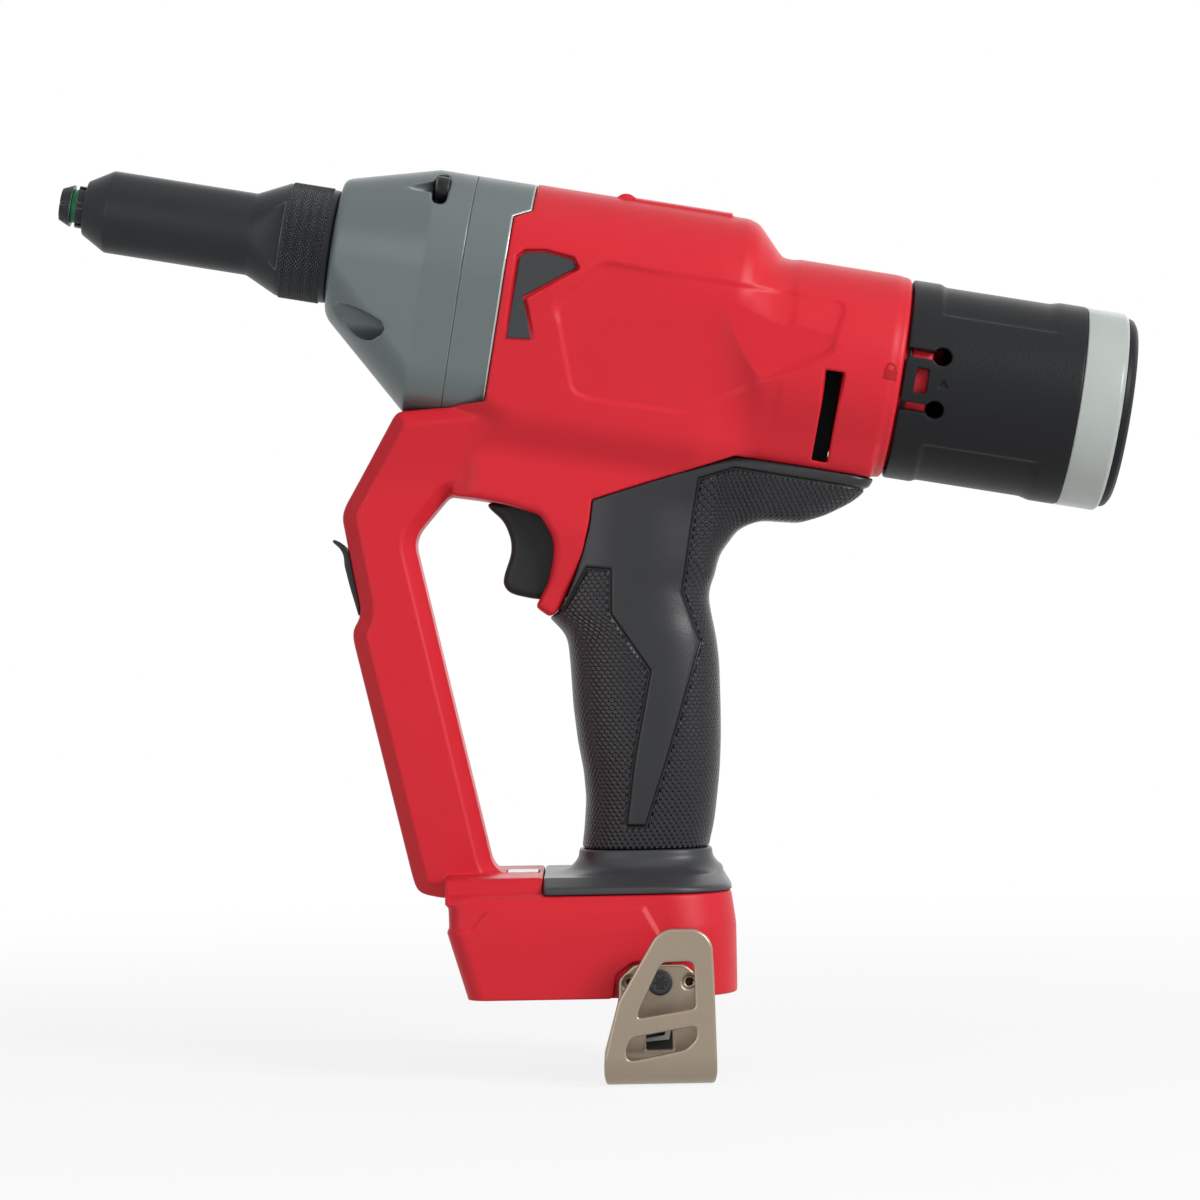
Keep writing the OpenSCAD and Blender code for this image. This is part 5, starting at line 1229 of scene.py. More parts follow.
@dataclass
class Grip:
    """Rubber over the grip and its tail, and the boot at its lower end."""

    step: float = 0.34
    faces: int = 100000
    skin: float = 2.2
    rings: Sequence[tuple[float, float, float, float]] = (
        (30.2, -6.5, 30.4, 17.3), (41.4, -6.8, 31.1, 17.6), (48.0, -6.0, 32.8, 17.9),
        (56.0, -5.4, 33.9, 18.2), (64.0, -6.0, 34.8, 18.4), (73.0, -7.6, 35.3, 18.4),
        (83.0, -8.7, 35.4, 18.2), (95.9, -9.4, 35.2, 17.8), (102.5, -10.0, 34.5, 17.6),
        (105.5, -11.4, 34.0, 17.5), (109.5, -15.6, 33.1, 17.4), (113.0, -16.4, 32.6, 17.3),
        (121.0, -14.6, 31.9, 17.2), (128.0, -13.6, 33.6, 17.2), (134.0, -13.6, 37.5, 17.2),
        (153.4, -13.6, 40.1, 17.2))
    tail: Outline = ((10.0, 121.0), (31.9, 121.2), (34.1, 127.9), (40.2, 134.3), (48.1, 136.6),
                     (59.4, 135.7), (66.5, 137.6), (73.8, 141.0), (77.4, 143.5), (79.6, 146.3),
                     (81.0, 148.6), (76.2, 152.8), (39.8, 158.0), (10.0, 152.8))
    smooth: Outline = ((6.8, 48.5), (9.4, 67.6), (14.6, 93.5), (3.3, 110.3), (3.5, 123.4),
                       (-3.9, 124.1), (-10.5, 112.5), (-22.0, 108.0), (-30.0, 125.5), (-30.0, 170.0),
                       (90.0, 170.0), (90.0, 144.5), (78.0, 145.8), (58.8, 149.1), (39.7, 152.5),
                       (30.1, 149.7), (29.2, 149.7), (23.6, 116.5), (28.7, 101.6), (18.3, 67.4),
                       (11.9, 48.4))
    wrap_half: tuple[float, float] = (21.8, 17.8)
    bosses: Outline = ((24.0, 56.0), (27.0, 112.0))
    boss_r: float = 3.2
    groove_at: float = 0.45
    waist_z: tuple[float, float, float, float] = (113.0, 135.0, 142.0, 151.0)
    waist_x: tuple[float, float] = (13.0, 30.0)
    waist_slope: float = 0.16
    tail_half: float = 17.0
    foot_z: float = 41.5
    boot_middle: float = 12.2

    def build(self) -> None:
        """Make the two rubber halves and the boot."""
        space = Space((-20.0, -1.0, 39.5), (84.0, 20.5, 160.0), self.step)
        form = self.form(space)
        right = form
        for x, z in self.bosses:
            hole = self.boss_r - np.hypot(space.x - x, space.z - z) + 0 * space.y
            right = soft_max(right, hole, 0.5)
        for name, shape, side in (("left", form, -1), ("right", right, 1)):
            mesh = space.mesh(shape, f"{name}_rubber", self.faces, side)
            self.mark_grain(mesh)
            add_piece(f"{name}_rubber", mesh, GRIP_RUBBER, nodes=(f"{name}_grip",))
        self.build_boot()

    def column(self, space: Space, shrink: float) -> Field:
        """Grip column and tail.

        Args:
            space: Sample points.
            shrink: Depth below the rubber's face.

        Returns:
            Distance to the form.
        """
        x, y, z = space.x, space.y, space.z
        levels, fronts, rears, widths = zip(*self.rings)
        front, rear = curve(z, levels, fronts, 3) + shrink, curve(z, levels, rears, 5) - shrink
        waist = curve(z, self.waist_z, (0.0, self.waist_slope, self.waist_slope, 0.0), 4)
        start, end = (np.logaddexp(0.0, (x - at) / 3.0) for at in self.waist_x)
        y = y + waist * 3.0 * (start - end)
        column = grip_plan(x - (front + rear) / 2, y, (rear - front) / 2,
                           curve(z, levels, widths, 5) - shrink)
        inset = curve(x, (24.0, 46.0), (4.5, 0.0), 4)
        tail = outline_distance(x, z, eased(self.tail, 2.0)) + shrink
        tail = slab(tail, y + inset, self.tail_half - shrink, 6.0)
        return soft_min(column, tail, 9.0)

    def form(self, space: Space) -> Field:
        """One half of the rubber with its grained panels set back behind a groove.

        Args:
            space: Sample points.

        Returns:
            Distance to the half.
        """
        x, y, z = space.x, space.y, space.z
        face = self.column(space, 0.0)
        border = outline_distance(x, z, self.smooth)
        set_back = 0.34 / (1 + np.exp(-border * 9))
        set_back = set_back + 0.62 * np.exp(-((border - self.groove_at) / 0.42) ** 2)
        form = soft_max(face + set_back, outline_distance(x, z, Housing.rubber) + 0.1, 0.6)
        form = soft_max(form, self.foot_z - z + 0 * form, 0.9)
        form = soft_max(form, -self.column(space, self.skin), 0.4)
        form = soft_max(form, -Housing().trigger_room(space), 0.4)
        return soft_max(form, 0.04 - y, 0.5)

    def mark_grain(self, mesh: bpy.types.Mesh) -> None:
        """Mark on the mesh where the rubber is grained, where its groove gets painted shade, and how far
        round the grip a point lies.

        Args:
            mesh: Mesh of one half.
        """
        x, y, z = points_of(mesh).T
        border = outline_distance(x, z, self.smooth)
        mark_points(mesh, "grained", np.clip((border - 0.9) / 0.5, 0.0, 1.0))
        # Weight of the painted shade along the border groove.
        mark_points(mesh, "grimy", np.exp(-((border - self.groove_at) / 0.4) ** 2))
        levels, fronts, rears, _ = zip(*self.rings)
        middle = (np.interp(z, levels, fronts) + np.interp(z, levels, rears)) / 2
        half_u, half_v = self.wrap_half
        turn = np.linspace(0.0, math.pi, 721)
        ring_u = -half_u * np.sign(np.cos(turn)) * np.abs(np.cos(turn)) ** (2 / GRIP_POWER)
        ring_v = half_v * np.abs(np.sin(turn)) ** (2 / GRIP_POWER)
        reach = np.concatenate([[0.0], np.cumsum(np.hypot(np.diff(ring_u), np.diff(ring_v)))])
        bearing = np.arctan2(ring_v, -ring_u)
        wrap = np.interp(np.arctan2(np.abs(y), -(x - middle)), bearing, reach)
        mark_points(mesh, "wrap", wrap + np.maximum(x - middle - half_u, 0.0))

    def build_boot(self) -> None:
        """Make the boot between the grip and the foot."""
        space = Space((-20.0, -40.0, 28.5), (39.5, 40.0, 43.0), 0.42)
        x, y, z = space.x, space.y, space.z
        corner = np.where(x > 9.8, 20.0, 1.6)
        half = curve(z, (29.0, 31.6, 34.6), (38.4, 38.4, 31.0), 0.8)
        rear = curve(z, (29.0, 30.4, 34.6), (37.2, 37.0, 33.6), 0.8)
        u = np.maximum(x - rear, -17.7 - x) + corner
        v = y - half + corner
        plan = round_trim(u, v, corner)
        flange = soft_max(plan, z - 34.5, 0.7)
        column, lip, core = (grip_plan(x - self.boot_middle, y, along + 0 * z, across)
                             for along, across in ((19.0, 17.7), (19.3, 18.0), (16.6, 15.2)))
        boot = soft_min(soft_min(flange, column, 9.0), np.maximum(lip, 39.9 - z), 1.0)
        boot = soft_max(boot, np.maximum(z - 41.25, 29.75 - z), 0.7)
        mesh = space.mesh(np.maximum(boot, -core), "boot", 44000)
        add_piece("grip_boot_rubber", mesh, BOOT_RUBBER_WITH_SHEEN, nodes=("grip_boot",))


@dataclass
class GearCase:
    """Cast gear case in front of the housing, with its screws and inlays."""

    step: float = 0.42
    faces: int = 60000
    face_s: float = -77.5
    shoulder_s: float = -50.0
    joint_s: float = -38.6
    rear_side: Outline = ((-38.6, 60.0), (-38.6, -60.0), (-26.25, -60.0), (-26.25, 15.5),
                          (-21.25, 18.1), (-21.25, 60.0))
    pocket_r: float = 4.7
    low_screw: tuple[float, float, float] = (17.0, -21.6, -50.4)
    top_screw: tuple[float, float, float] = (14.1, 20.5, -48.45)
    groove: tuple[float, float, float] = (15.7, -59.3, 0.31)
    bore_r: float = 14.15
    room_r: float = 22.0
    room_s: float = -62.0

    def build(self) -> None:
        """Make both castings and dress what sits in them."""
        space = Space((-79.0, -29.5, -47.0), (-36.0, 29.5, 29.5), self.step, tilted=True)
        mesh = space.mesh(self.front(space), "case_front", self.faces)
        add_piece("case_front", mesh, CAST_CASE, nodes=("gearcase_front",))
        space = Space((-40.5, -29.5, -47.0), (-19.0, 29.5, 29.5), self.step, tilted=True)
        mesh = space.mesh(self.rear(space), "case_rear", self.faces // 2)
        add_piece("case_rear", mesh, CAST_CASE, nodes=("gearcase_rear",))
        # Thin light metal band over the case's rear edge: painted highlight along that edge.
        space = Space((-28.0, -29.0, -47.0), (-20.0, 29.0, 29.0), 0.26, tilted=True)
        edge = outline_distance(space.s, space.t, self.rear_side)
        section = self.section(space)
        rim = soft_max(soft_max(section - 0.1, edge - 0.02, 0.3), -0.7 - edge, 0.3)
        rim = np.maximum(rim, -1.0 - section)
        add_piece("case_rim", space.mesh(rim, "case_rim", 40000), RIM_HIGHLIGHT)
        dress("gearcase_screws", BLACK_SCREW, 0.3)
        dress("side_inlays", GREY_INLAY, 0.25)
        dress("housing_screws", BLACK_SCREW)

    def section(self, space: Space) -> Field:
        """Outer form of the case, tapered towards the nose.

        Args:
            space: Sample points.

        Returns:
            Distance to the form.
        """
        ends = (self.face_s, self.shoulder_s)
        sizes = [curve(space.s, ends, pair, 0.8) for pair in
                 ((20.3, BARREL_R), (0.0, 6.0), (0.0, -28.0), (20.3, 17.0))]
        return lobed(space.y, space.t, 0.0, *sizes)

    def front(self, space: Space) -> Field:
        """Front casting with its screw pockets and bore.

        Args:
            space: Sample points.

        Returns:
            Distance to the casting.
        """
        y, s, t = space.y, space.s, space.t
        form = soft_max(self.section(space), self.face_s - s, 2.4)
        form = soft_max(form, s - self.joint_s, 0.06)
        across, rise, end = self.low_screw
        pocket = soft_max(np.hypot(y - across, t - rise) - self.pocket_r, s - end, 0.8)
        form = soft_max(form, -pocket, 0.5)
        across, rise, middle = self.top_screw
        slot = np.hypot(np.maximum(np.abs(s - middle) - 0.35, 0),
                        np.maximum(np.abs(t - rise) - 2.9, 0)) - 1.8
        form = soft_max(form, -np.maximum(slot, across - 5.0 - y), 0.9)
        beside, tip, spread = self.groove
        groove = np.hypot(y - beside, t - rise + 0.6) - 0.5 - spread * np.maximum(s - tip, 0.0)
        form = soft_max(form, -np.maximum(groove, np.maximum(s - middle, tip - s)), 1.0)
        r = np.hypot(y, t)
        bore = np.minimum(r - self.bore_r, np.maximum(r - self.room_r, self.room_s - s))
        return np.maximum(form, -bore)

    def rear(self, space: Space) -> Field:
        """Rear casting with the tongue over the barrel.

        Args:
            space: Sample points.

        Returns:
            Distance to the casting.
        """
        side = outline_distance(space.s, space.t, self.rear_side)
        form = soft_max(self.section(space), side, 0.06)
        return np.maximum(form, 19.0 - np.hypot(space.y, space.t) + 0 * space.s)


@dataclass
class Nose:
    """Nose housing with its knurled collar, and the nosepiece."""

    turns: int = 192
    outline: Outline = ((4.96, -152.0), (7.9, -152.0), (12.15, -144.8), (12.15, -102.3), (16.7, -92.8),
                        (16.7, -78.2), (16.0, -77.5), (14.0, -77.5), (14.0, -65.5), (10.2, -65.5),
                        (10.2, -146.0), (4.96, -146.0))
    flat: Outline = ((-104.0, -20.0), (-92.8, -20.0), (-92.8, 20.0), (-104.0, 20.0))
    flat_y: float = 13.2
    knurl: tuple[float, float] = (-92.2, -79.8)
    knurl_r: float = 16.72
    knurl_pitch: float = 1.4
    knurl_height: float = 0.6

    def build(self) -> None:
        """Make the nose housing and its knurl, and dress the nosepiece."""
        mesh = lathe("nose", self.outline, self.turns, 0.5)
        flats = [barrel_prism(self.flat, self.flat_y, 22.0, turn) for turn in (0.0, 180.0)]
        add_piece("nose_tube", cut_mesh(mesh, flats), BLACK_STEEL, nodes=("nose_housing",))
        add_piece("nose_knurl", self.knurl_mesh(), KNURL_STEEL)
        dress("nosepiece", BLACK_STEEL, 0.15)
        dress("nosepiece_ring", GREEN_RING, 0.1)

    def knurl_mesh(self) -> bpy.types.Mesh:
        """Make the sleeve of small diamond points round the collar.

        Returns:
            The mesh.
        """
        teeth = round(2 * math.pi * self.knurl_r / self.knurl_pitch)
        around = teeth * 8
        rows = 100
        s = np.linspace(self.knurl[0], self.knurl[1], rows)[:, None]
        a = np.linspace(0, 2 * math.pi, around, endpoint=False)[None, :]
        turn, climb = a * teeth / (2 * math.pi), s / self.knurl_pitch / 0.75
        left, right = (np.abs(2 * ((turn + way * climb) % 1.0) - 1) for way in (1, -1))
        ends = np.clip(np.minimum(s - self.knurl[0], self.knurl[1] - s) / 0.35, 0.0, 1.0)
        tips = np.minimum(np.minimum(left, right) * 1.25, 1.0)
        r = self.knurl_r - 0.14 + ends * self.knurl_height * tips
        r = np.concatenate([r, np.full((2, around), self.knurl_r - 1.2)])
        s = np.concatenate([s, s[[-1, 0]]])
        x, z = from_barrel(s + 0 * a, r * np.cos(a))
        points = np.stack([x, r * np.sin(a), z], axis=2).reshape(-1, 3) * MM
        mesh = bpy.data.meshes.new("knurl")
        fill_mesh(mesh, points, ring_quads(len(s), around))
        return tidy_mesh(mesh)


@dataclass
class Controls:
    """Trigger, front light and status light."""

    trigger: Outline = ((-18.0, 114.6), (-7.8, 115.2), (-7.0, 141.3), (-13.4, 145.6), (-32.5, 143.4),
                        (-32.3, 141.9), (-27.8, 137.9), (-25.8, 132.5), (-25.8, 128.2), (-28.0, 122.3),
                        (-28.4, 119.2), (-26.3, 116.5))
    plunger: tuple[float, float] = (-7.6, 129.0)
    lens: Outline = ((-70.8, 110.4), (-69.4, 113.7), (-70.6, 120.4), (-72.0, 125.6), (-73.0, 129.3),
                     (-74.2, 131.3), (-76.2, 132.8), (-77.8, 133.6), (-78.4, 132.9), (-77.5, 132.0),
                     (-76.0, 130.7), (-75.0, 128.7), (-74.8, 125.6), (-73.3, 119.3), (-71.7, 113.7))

    def build(self) -> None:
        """Make the trigger and the light's lens, and dress the rest."""
        space = Space((-35.0, -9.0, 112.0), (4.0, 9.0, 148.0), 0.3)
        x, y, z = space.x, space.y, space.z
        form = slab(outline_distance(x, z, eased(self.trigger, 3.0)), y, 7.6, 2.6)
        u, v = x - self.plunger[0], z - self.plunger[1]
        plunger = np.maximum(np.hypot(y, SIN * u + COS * v) - 2.4, np.abs(COS * u - SIN * v - 4.0) - 5.0)
        mesh = space.mesh(soft_min(form, plunger, 0.8), "trigger", 24000)
        add_piece("trigger_lever", mesh, BLACK_PLASTIC, "trigger_body", ("trigger",))
        space = Space((-80.0, -10.0, 109.0), (-68.0, 10.0, 139.0), 0.28)
        x, y, z = space.x, space.y, space.z
        form = slab(outline_distance(x, z, eased(self.lens, 1.0)), y, 8.6, 0.5)
        form = soft_max(form, np.hypot(np.maximum(y - 5.6, 0), np.maximum(z - 130.6, 0)) - 3.0, 0.4)
        arm = outline_distance(x, z, eased(Housing.arm, Housing.arm_ease))
        mesh = space.mesh(soft_max(form, 0.06 - arm, 0.2), "lens", 16000)
        add_piece("light_flap", mesh, LIGHT_LENS, nodes=("led_lens",))
        dress("led_module", LIGHT_CHIP)
        dress("status_light", STATUS_LENS, 0.3)


@dataclass
class BeltHook:
    """Bent sheet-metal belt hook, its screw and what shows behind it."""

    step: float = 0.3
    middle_y: float = -46.6
    bend_z: float = -15.1
    bend_r: float = 7.4
    half_t: float = 1.2
    bend: Outline = ((-0.9, -15.1), (-1.2, -20.0), (-0.1, -26.0), (29.8, -26.0), (31.0, -20.6),
                     (30.9, -15.1))
    plate: Outline = ((30.5, 6.4), (30.1, 16.3), (28.2, 19.2), (25.2, 20.8), (17.3, 20.9), (13.9, 18.8),
                      (3.0, 0.4))
    base: Outline = ((30.6, -5.8), (26.8, 0.9), (25.1, 7.4), (22.5, 9.6), (8.0, 9.8), (5.0, 7.1),
                     (3.4, 5.3), (3.2, -0.6))
    windows: Sequence[Outline] = (
        ((8.6, -4.3), (24.9, -1.7), (24.7, 10.6), (23.6, 11.6), (16.0, 11.4), (14.8, 10.1), (9.0, -2.0)),
        ((5.3, -15.7), (7.0, -16.3), (22.0, -13.3), (25.0, -10.4), (25.3, -7.7), (24.4, -6.8),
         (6.7, -9.8), (5.2, -12.6)))
    catch: Outline = ((11.0, -13.2), (16.4, -12.3), (17.6, -9.3), (18.8, -9.1), (17.8, -13.6),
                      (11.0, -14.2))
    rear_window: Outline = ((11.0, -14.6), (18.6, -14.6), (18.6, -9.2), (11.0, -9.2))
    holes: Sequence[tuple[float, float, float]] = ((15.2, 4.6, 1.75), (6.7, 4.6, 1.7), (23.7, 4.6, 1.7))

    def build(self) -> None:
        """Make the hook and dress its neighbours."""
        space = Space((-2.5, -56.5, -25.0), (32.5, -36.5, 22.5), self.step)
        mesh = space.mesh(self.form(space), "hook", 60000)
        add_piece("belt_hook_sheet", mesh, HOOK_METAL, nodes=("belt_hook",))
        self.build_screw()
        # Dark discs at the floors of the two blind holes: painted shade inside the holes.
        space = Space((4.0, -39.0, 2.0), (26.5, -37.8, 7.2), 0.15)
        away = np.minimum(*(np.hypot(space.x - x, space.z - z) - radius + 0.05
                            for x, z, radius in self.holes[1:]))
        form = np.maximum(away, np.abs(space.y - 38.4) - 0.3)
        add_piece("hook_hole_floors", space.mesh(form, "hook_hole_floors", 4000), HOOK_SHADE)
        dress("hook_inserts", CONTACT_BRASS)
        dress("terminal_block", BLACK_PLASTIC, 0.5)
        dress("terminal_blades", CONTACT_BRASS, 0.15)

    def build_screw(self) -> None:
        """Make the screw with its six-lobed socket, and the catch that shows behind the hook."""
        middle_x, middle_z, _ = self.holes[0]
        space = Space((middle_x - 4.2, -45.0, middle_z - 4.2),
                      (middle_x + 4.2, -31.5, middle_z + 4.2), 0.16)
        u, v, y = space.x - middle_x, space.z - middle_z, space.y
        r, turn = np.hypot(u, v), np.arctan2(v, u)
        head = soft_max(r - 3.6, np.maximum(y - 43.5, 40.45 - y), 1.0)
        shank = np.maximum(r - 1.6, np.maximum(y - 41.0, 32.3 - y))
        socket = np.maximum(r - 1.85 - 0.36 * np.cos(6 * turn), 42.0 - y)
        form = np.maximum(np.minimum(head, shank), -socket)
        mesh = space.mesh(form, "hook_screw", 14000)
        add_piece("hook_screw_head", mesh, SCREW_STEEL, nodes=("hook_screw",))
        space = Space((10.0, -22.5, -15.0), (20.0, -20.0, -7.5), 0.16)
        form = slab(outline_distance(space.x, space.z, self.catch), np.abs(space.y - 21.2), 0.9, 0.25)
        add_piece("terminal_catch", space.mesh(form, "catch", 3000), GREY_CATCH)

    def form(self, space: Space) -> Field:
        """Sheet bent round below, with its windows and holes.

        Args:
            space: Sample points, all on the near side.

        Returns:
            Distance to the hook.
        """
        x, z = space.x, space.z
        out = space.y + self.middle_y
        sheet = np.abs(np.hypot(out, np.minimum(z - self.bend_z, 0.0)) - self.bend_r) - self.half_t
        plate = outline_distance(x, z, eased((*self.bend, *self.plate), 1.6))
        for window in self.windows:
            plate = np.maximum(plate, -outline_distance(x, z, eased(window, 1.2)))
        base = outline_distance(x, z, eased((*self.bend, *self.base), 1.2))
        base = np.maximum(base, -outline_distance(x, z, self.rear_window))
        screw_x, screw_z, screw_r = self.holes[0]
        base = np.maximum(base, screw_r - np.hypot(x - screw_x, z - screw_z))
        form = soft_max(sheet, np.where(out > 0, plate, base), 0.8)
        depth = self.half_t - self.bend_r - out
        for place_x, place_z, radius in self.holes[1:]:
            sink = np.hypot(x - place_x, z - place_z) - radius - np.clip(0.9 - depth, 0.0, 0.9)
            form = np.maximum(form, -np.maximum(sink, np.maximum(out + 4.0, depth - 1.7)))
        return form


@dataclass
class MandrelCup:
    """Twist-off cup for spent mandrels: body, clear ring, cap and seal."""

    turns: int = 224
    front_s: float = 92.6
    radius: float = 29.4
    length: float = 51.5
    hole_s: float = 10.2
    hole_r: float = 2.7
    hole_slit: float = 1.25
    tab_turn: float = 2.6
    tab: tuple[float, float] = (3.3, 7.0)
    slot_turn: float = 15.6
    seal_s: float = 1.8
    seal_r: tuple[float, float] = (26.88, 0.62)
    side_turn: float = 41.0
    mark_s: float = 11.6
    window: Outline = ((25.2, 48.56), (26.34, 48.56), (26.34, 51.5), (29.4, 51.5), (29.4, 62.7),
                       (28.4, 63.8), (25.2, 63.8))
    cap: Outline = ((0.01, 60.8), (25.14, 60.8), (25.14, 63.8), (28.2, 63.8), (27.6, 65.6), (25.8, 66.8),
                    (22.0, 66.8), (21.4, 66.2), (0.01, 66.2))

    def build(self) -> None:
        """Make the cup's pieces."""
        add_piece("cup_shell", self.body(), CUP_BLACK, "cup", ("cup_body",))
        add_piece("cup_ring", self.turned("ring", self.window, 0.5), CUP_CLEAR, "cup", ("cup_window",))
        add_piece("cup_end", self.turned("cap", self.cap, 0.5), CUP_END, "cup", ("cup_cap",))
        middle, thick = self.seal_r
        ring = [(middle + thick * math.cos(a), self.seal_s - 0.8 + thick * math.sin(a))
                for a in np.linspace(0, 2 * math.pi, 16, False)]
        add_piece("cup_o_ring", self.turned("o_ring", ring, 0.0), SEAL_RUBBER, "seal_body", ("cup_seal",))

    def turned(self, name: str, outline: Outline, ease: float) -> bpy.types.Mesh:
        """Turn a piece of the cup.

        Args:
            name: Name of the mesh.
            outline: Points as (radius, distance from the cup's front edge).
            ease: Rounding of its corners.

        Returns:
            The mesh.
        """
        return lathe(name, [(r, self.front_s + s) for r, s in outline], self.turns, ease, CUP_DROP)

    def body(self) -> bpy.types.Mesh:
        """Make the black body with its keyholes, the tab window and the raised grained sides.

        Returns:
            The mesh.
        """
        front = self.front_s
        space = Space((front - 1.5, -30.5, -43.2), (front + 53.0, 30.5, 18.8), 0.4, tilted=True)
        s, y, t = space.s - front, space.across, space.t + CUP_DROP
        r, level = np.hypot(y, t), np.degrees(np.arctan2(t, np.abs(y)))
        hollow = curve(s, (8.2, 9.6, 40.5, 43.5), (0.0, 0.75, 0.75, 0.0), 0.8)
        lower = 1 / (1 + np.exp(-(np.abs(level) - self.side_turn) * 2.2))
        form = r - self.radius + hollow * lower
        form = soft_max(form, np.maximum(s - self.length, -s), 0.6)
        bore = np.where(s < 11.0, 26.6, np.where(s > 48.5, 26.4, 27.4))
        groove = np.maximum(r - 28.12, np.abs(s - self.seal_s) - 0.96)
        form = np.maximum(form, -np.minimum(r - bore, groove))
        for way in (-1, 1):
            a = math.radians(self.tab_turn + way * self.slot_turn)
            high = t * math.cos(a) - y * math.sin(a)
            hole = np.minimum(np.hypot(s - self.hole_s, high) - self.hole_r,
                              np.maximum(np.abs(high) - self.hole_slit, s - self.hole_s))
            form = soft_max(form, -np.maximum(hole, y), 0.4)
        a = math.radians(self.tab_turn)
        high = t * math.cos(a) - y * math.sin(a)
        near, far = self.tab
        tab = np.maximum(np.abs(s - (near + far) / 2) - (far - near) / 2, np.abs(high) - 3.5)
        form = soft_max(form, -np.maximum(tab, y), 0.4)
        mark = np.maximum(np.abs(s - self.mark_s) * 1.5 - 1.2 + high, -1.2 - high)
        form = np.maximum(form, -np.maximum(np.maximum(mark, self.radius - 0.6 - r), y))
        mesh = space.mesh(form, "body", 110000)
        x, y, z = points_of(mesh).T
        s, t = to_barrel(x, z)
        level = np.abs(np.degrees(np.arctan2(t + CUP_DROP, np.abs(y))))
        beside = np.clip((self.side_turn - level) / 1.5, 0, 1)
        mark_points(mesh, "grained", beside * np.clip(s - front - 11.0, 0, 1))
        return mesh


@dataclass
class Spring:
    """Wire spring along the barrel's tilt."""

    node: str
    body: str
    joint: str
    travel: float
    ends: tuple[float, float]
    rise: float
    radius: float
    wire: float
    turns: int
    sides: int = 8

    def build(self) -> None:
        """Make the coil."""
        start, end = self.ends
        along = np.linspace(0.0, 1.0, 24 * self.turns + 1)[:, None]
        round_wire = np.arange(self.sides)[None, :] * math.pi / 4
        turn = 2 * math.pi * self.turns * along
        r = self.radius + self.wire * np.cos(round_wire)
        s = start + self.wire * (1 + np.sin(round_wire)) + (end - start - 2 * self.wire) * along
        x, z = from_barrel(s, self.rise + r * np.cos(turn))
        points = np.stack([x, r * np.sin(turn), z], axis=2).reshape(-1, 3) * MM
        quads = ring_quads(len(along), self.sides)[:-self.sides]
        cap = np.array([[0, 1, 2, 3], [0, 3, 4, 7], [4, 5, 6, 7]])
        mesh = bpy.data.meshes.new(self.node)
        fill_mesh(mesh, points, np.concatenate([quads, cap, cap + len(points) - self.sides]))
        coil = add_piece(f"{self.node}_coil", tidy_mesh(mesh), SPRING_STEEL, self.body, (self.node,))
        x, z = from_barrel(end, self.rise)
        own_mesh(coil)


@dataclass
class Mechanism:
    """Pieces inside the tool, with the finish of each."""

    def build(self) -> None:
        """Dress the inner pieces."""
        sets = {
            BLACK_PLASTIC: ("trigger_switch", "motor_fan", "guide_tube", "air_baffle"),
            CIRCUIT_BOARD: ("control_board",),
            MOTOR_IRON: ("motor_stator", "motor_rotor"),
            BEARING_STEEL: ("motor_bearing", "thrust_bearing", "nut_bearing", "mandrel_tube"),
            GEAR_STEEL: ("reduction_unit", "output_pinion", "idler_gear", "idler_pin", "drive_nut",
                         "pull_screw"),
            JAW_STEEL: ("jaw_case", "jaw_1", "jaw_2", "jaw_3", "jaw_pusher"),
        }
        for finish, nodes in sets.items():
            for node in nodes:
                dress(node, finish)
        Spring("trigger_spring", "tool_body", "trigger_slide", travel=TRIGGER_TRAVEL,
               ends=(6.92, 21.92), rise=-77.35, radius=3.7, wire=0.5, turns=6).build()
        Spring("jaw_spring", "puller", "pusher_slide", travel=PUSHER_TRAVEL,
               ends=(-124.44, -111.0), rise=0.0, radius=4.4, wire=0.6, turns=5).build()


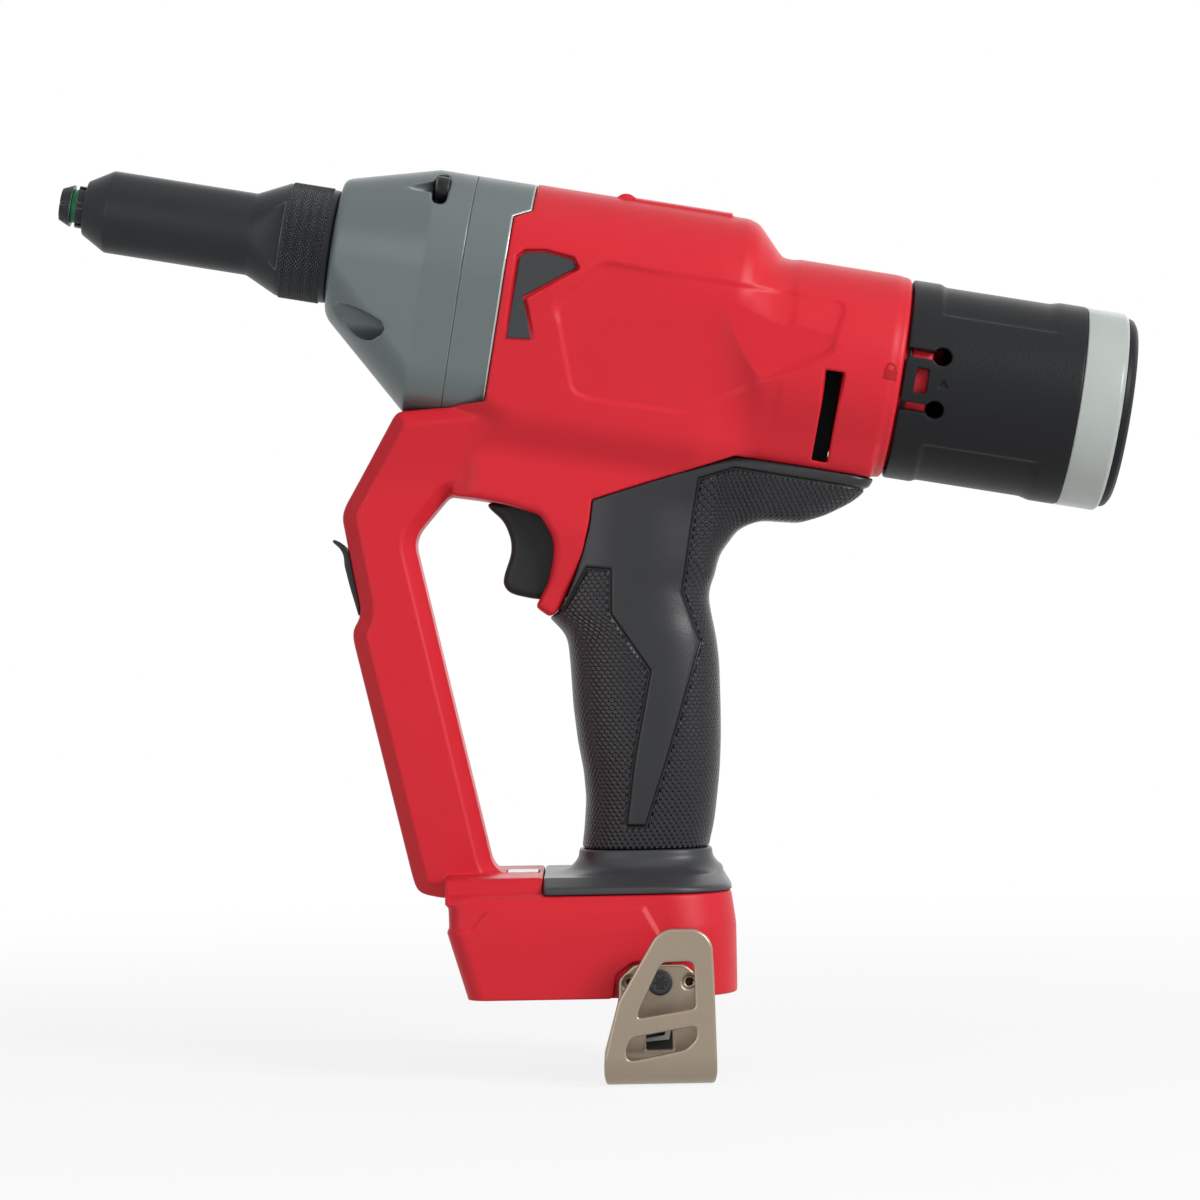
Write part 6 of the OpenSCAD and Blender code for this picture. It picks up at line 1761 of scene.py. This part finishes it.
@dataclass
class Studio:
    """Floor, soft light and the camera of the photograph's view."""

    floor_z: float = -24.0
    distance: float = 1328.0
    aim_z: float = 114.3
    lens: float = 135.0
    sensor: float = 36.0
    roll: float = 1.0
    lamp_aim: Corner = (0.0, 0.0, 0.12)
    sky: tuple[float, float, float, float] = (0.95, 0.97, 1.0, 1.0)
    sky_strength: float = 0.22

    def build(self) -> None:
        """Set the scene round the tool."""
        bpy.context.scene.view_settings.view_transform = "Standard"
        self.world()
        self.floor()
        self.lamp("key", (1.25, -1.15, 0.95), 0.8, 28.5)
        self.lamp("fill", (-1.0, -1.4, 0.4), 1.2, 6.5)
        self.lamp("top", (0.2, -0.3, 1.5), 1.0, 1.5)
        self.lamp("back", (0.2, 1.4, 0.6), 1.2, 3.0)
        camera = bpy.data.cameras.new("camera")
        camera.lens = self.lens
        camera.sensor_width = self.sensor
        camera.clip_start, camera.clip_end = 0.05, 50.0
        eye = bpy.data.objects.new("camera", camera)
        eye.location = (0.0, -self.distance * MM, self.aim_z * MM)
        eye.rotation_euler = (math.radians(90), math.radians(self.roll), 0.0)
        bpy.context.scene.collection.objects.link(eye)
        bpy.context.scene.camera = eye

    def seen(self, graph: Graph) -> Socket:
        """Tell rays that show the background from those that light the tool.

        Args:
            graph: Nodes to work in.

        Returns:
            1 for camera, mirror and glass rays, else 0.
        """
        path = graph.add("ShaderNodeLightPath").outputs
        sharp = graph.math("MAXIMUM", path["Is Camera Ray"], path["Is Glossy Ray"])
        return graph.math("MAXIMUM", sharp, path["Is Transmission Ray"])

    def world(self) -> None:
        """Light the tool softly from all round, on a white background."""
        world = bpy.data.worlds.new("studio")
        bpy.context.scene.world = world
        graph = Graph(world)
        soft, white = (graph.add("ShaderNodeBackground", {0: colour, 1: strength}).outputs[0]
                       for colour, strength in ((self.sky, self.sky_strength), (WHITE, 1.0)))
        graph.add("ShaderNodeOutputWorld", {0: graph.mix_shaders(self.seen(graph), soft, white)})

    def floor(self) -> None:
        """Lay the pale floor."""
        work = bmesh.new()
        bmesh.ops.create_grid(work, x_segments=1, y_segments=1, size=12.0)
        mesh = bpy.data.meshes.new("floor")
        work.to_mesh(mesh)
        work.free()
        floor = bpy.data.objects.new("floor", mesh)
        floor.location.z = self.floor_z * MM
        mat = bpy.data.materials.new("floor")
        graph = Graph(mat)
        paint = graph.add("ShaderNodeBsdfDiffuse", {0: (0.82, 0.82, 0.82, 1.0)}).outputs[0]
        white = graph.add("ShaderNodeEmission", {1: 1.0}).outputs[0]
        where = graph.add("ShaderNodeTexCoord").outputs["Object"]
        reach = graph.add("ShaderNodeVectorMath", {0: where}, operation="LENGTH").outputs["Value"]
        fade = graph.ramp(reach, (0.10, 0.85), (0.80, 1.0), "SMOOTHSTEP")
        share = graph.math("MULTIPLY", fade, self.seen(graph))
        graph.add("ShaderNodeOutputMaterial", {0: graph.mix_shaders(share, paint, white)})
        mesh.materials.append(mat)
        bpy.context.scene.collection.objects.link(floor)

    def lamp(self, name: str, place: Corner, size: float, power: float) -> None:
        """Hang one soft lamp that faces the tool.

        Args:
            name: Name of the lamp.
            place: Where it hangs, in metres.
            size: Side of its square face, in metres.
            power: Its power in watts.
        """
        light = bpy.data.lights.new(name, "AREA")
        light.energy = power
        light.size = size
        lamp = bpy.data.objects.new(name, light)
        lamp.location = place
        way = np.array(self.lamp_aim) - np.array(place)
        flat = math.hypot(way[0], way[1])
        lamp.rotation_euler = (math.atan2(flat, -way[2]), 0.0, math.atan2(-way[0], way[1]))
        bpy.context.scene.collection.objects.link(lamp)


def main() -> None:
    """Build the studio and every sub-assembly."""
    logging.basicConfig(level=logging.INFO, format="%(message)s")
    Studio().build()
    for part in (Housing(), Grip(), GearCase(), Nose(), Controls(), BeltHook(), MandrelCup(),
                 Mechanism()):
        LOG.info("building %s", type(part).__name__)
        part.build()


if __name__ == "__main__":
    main()
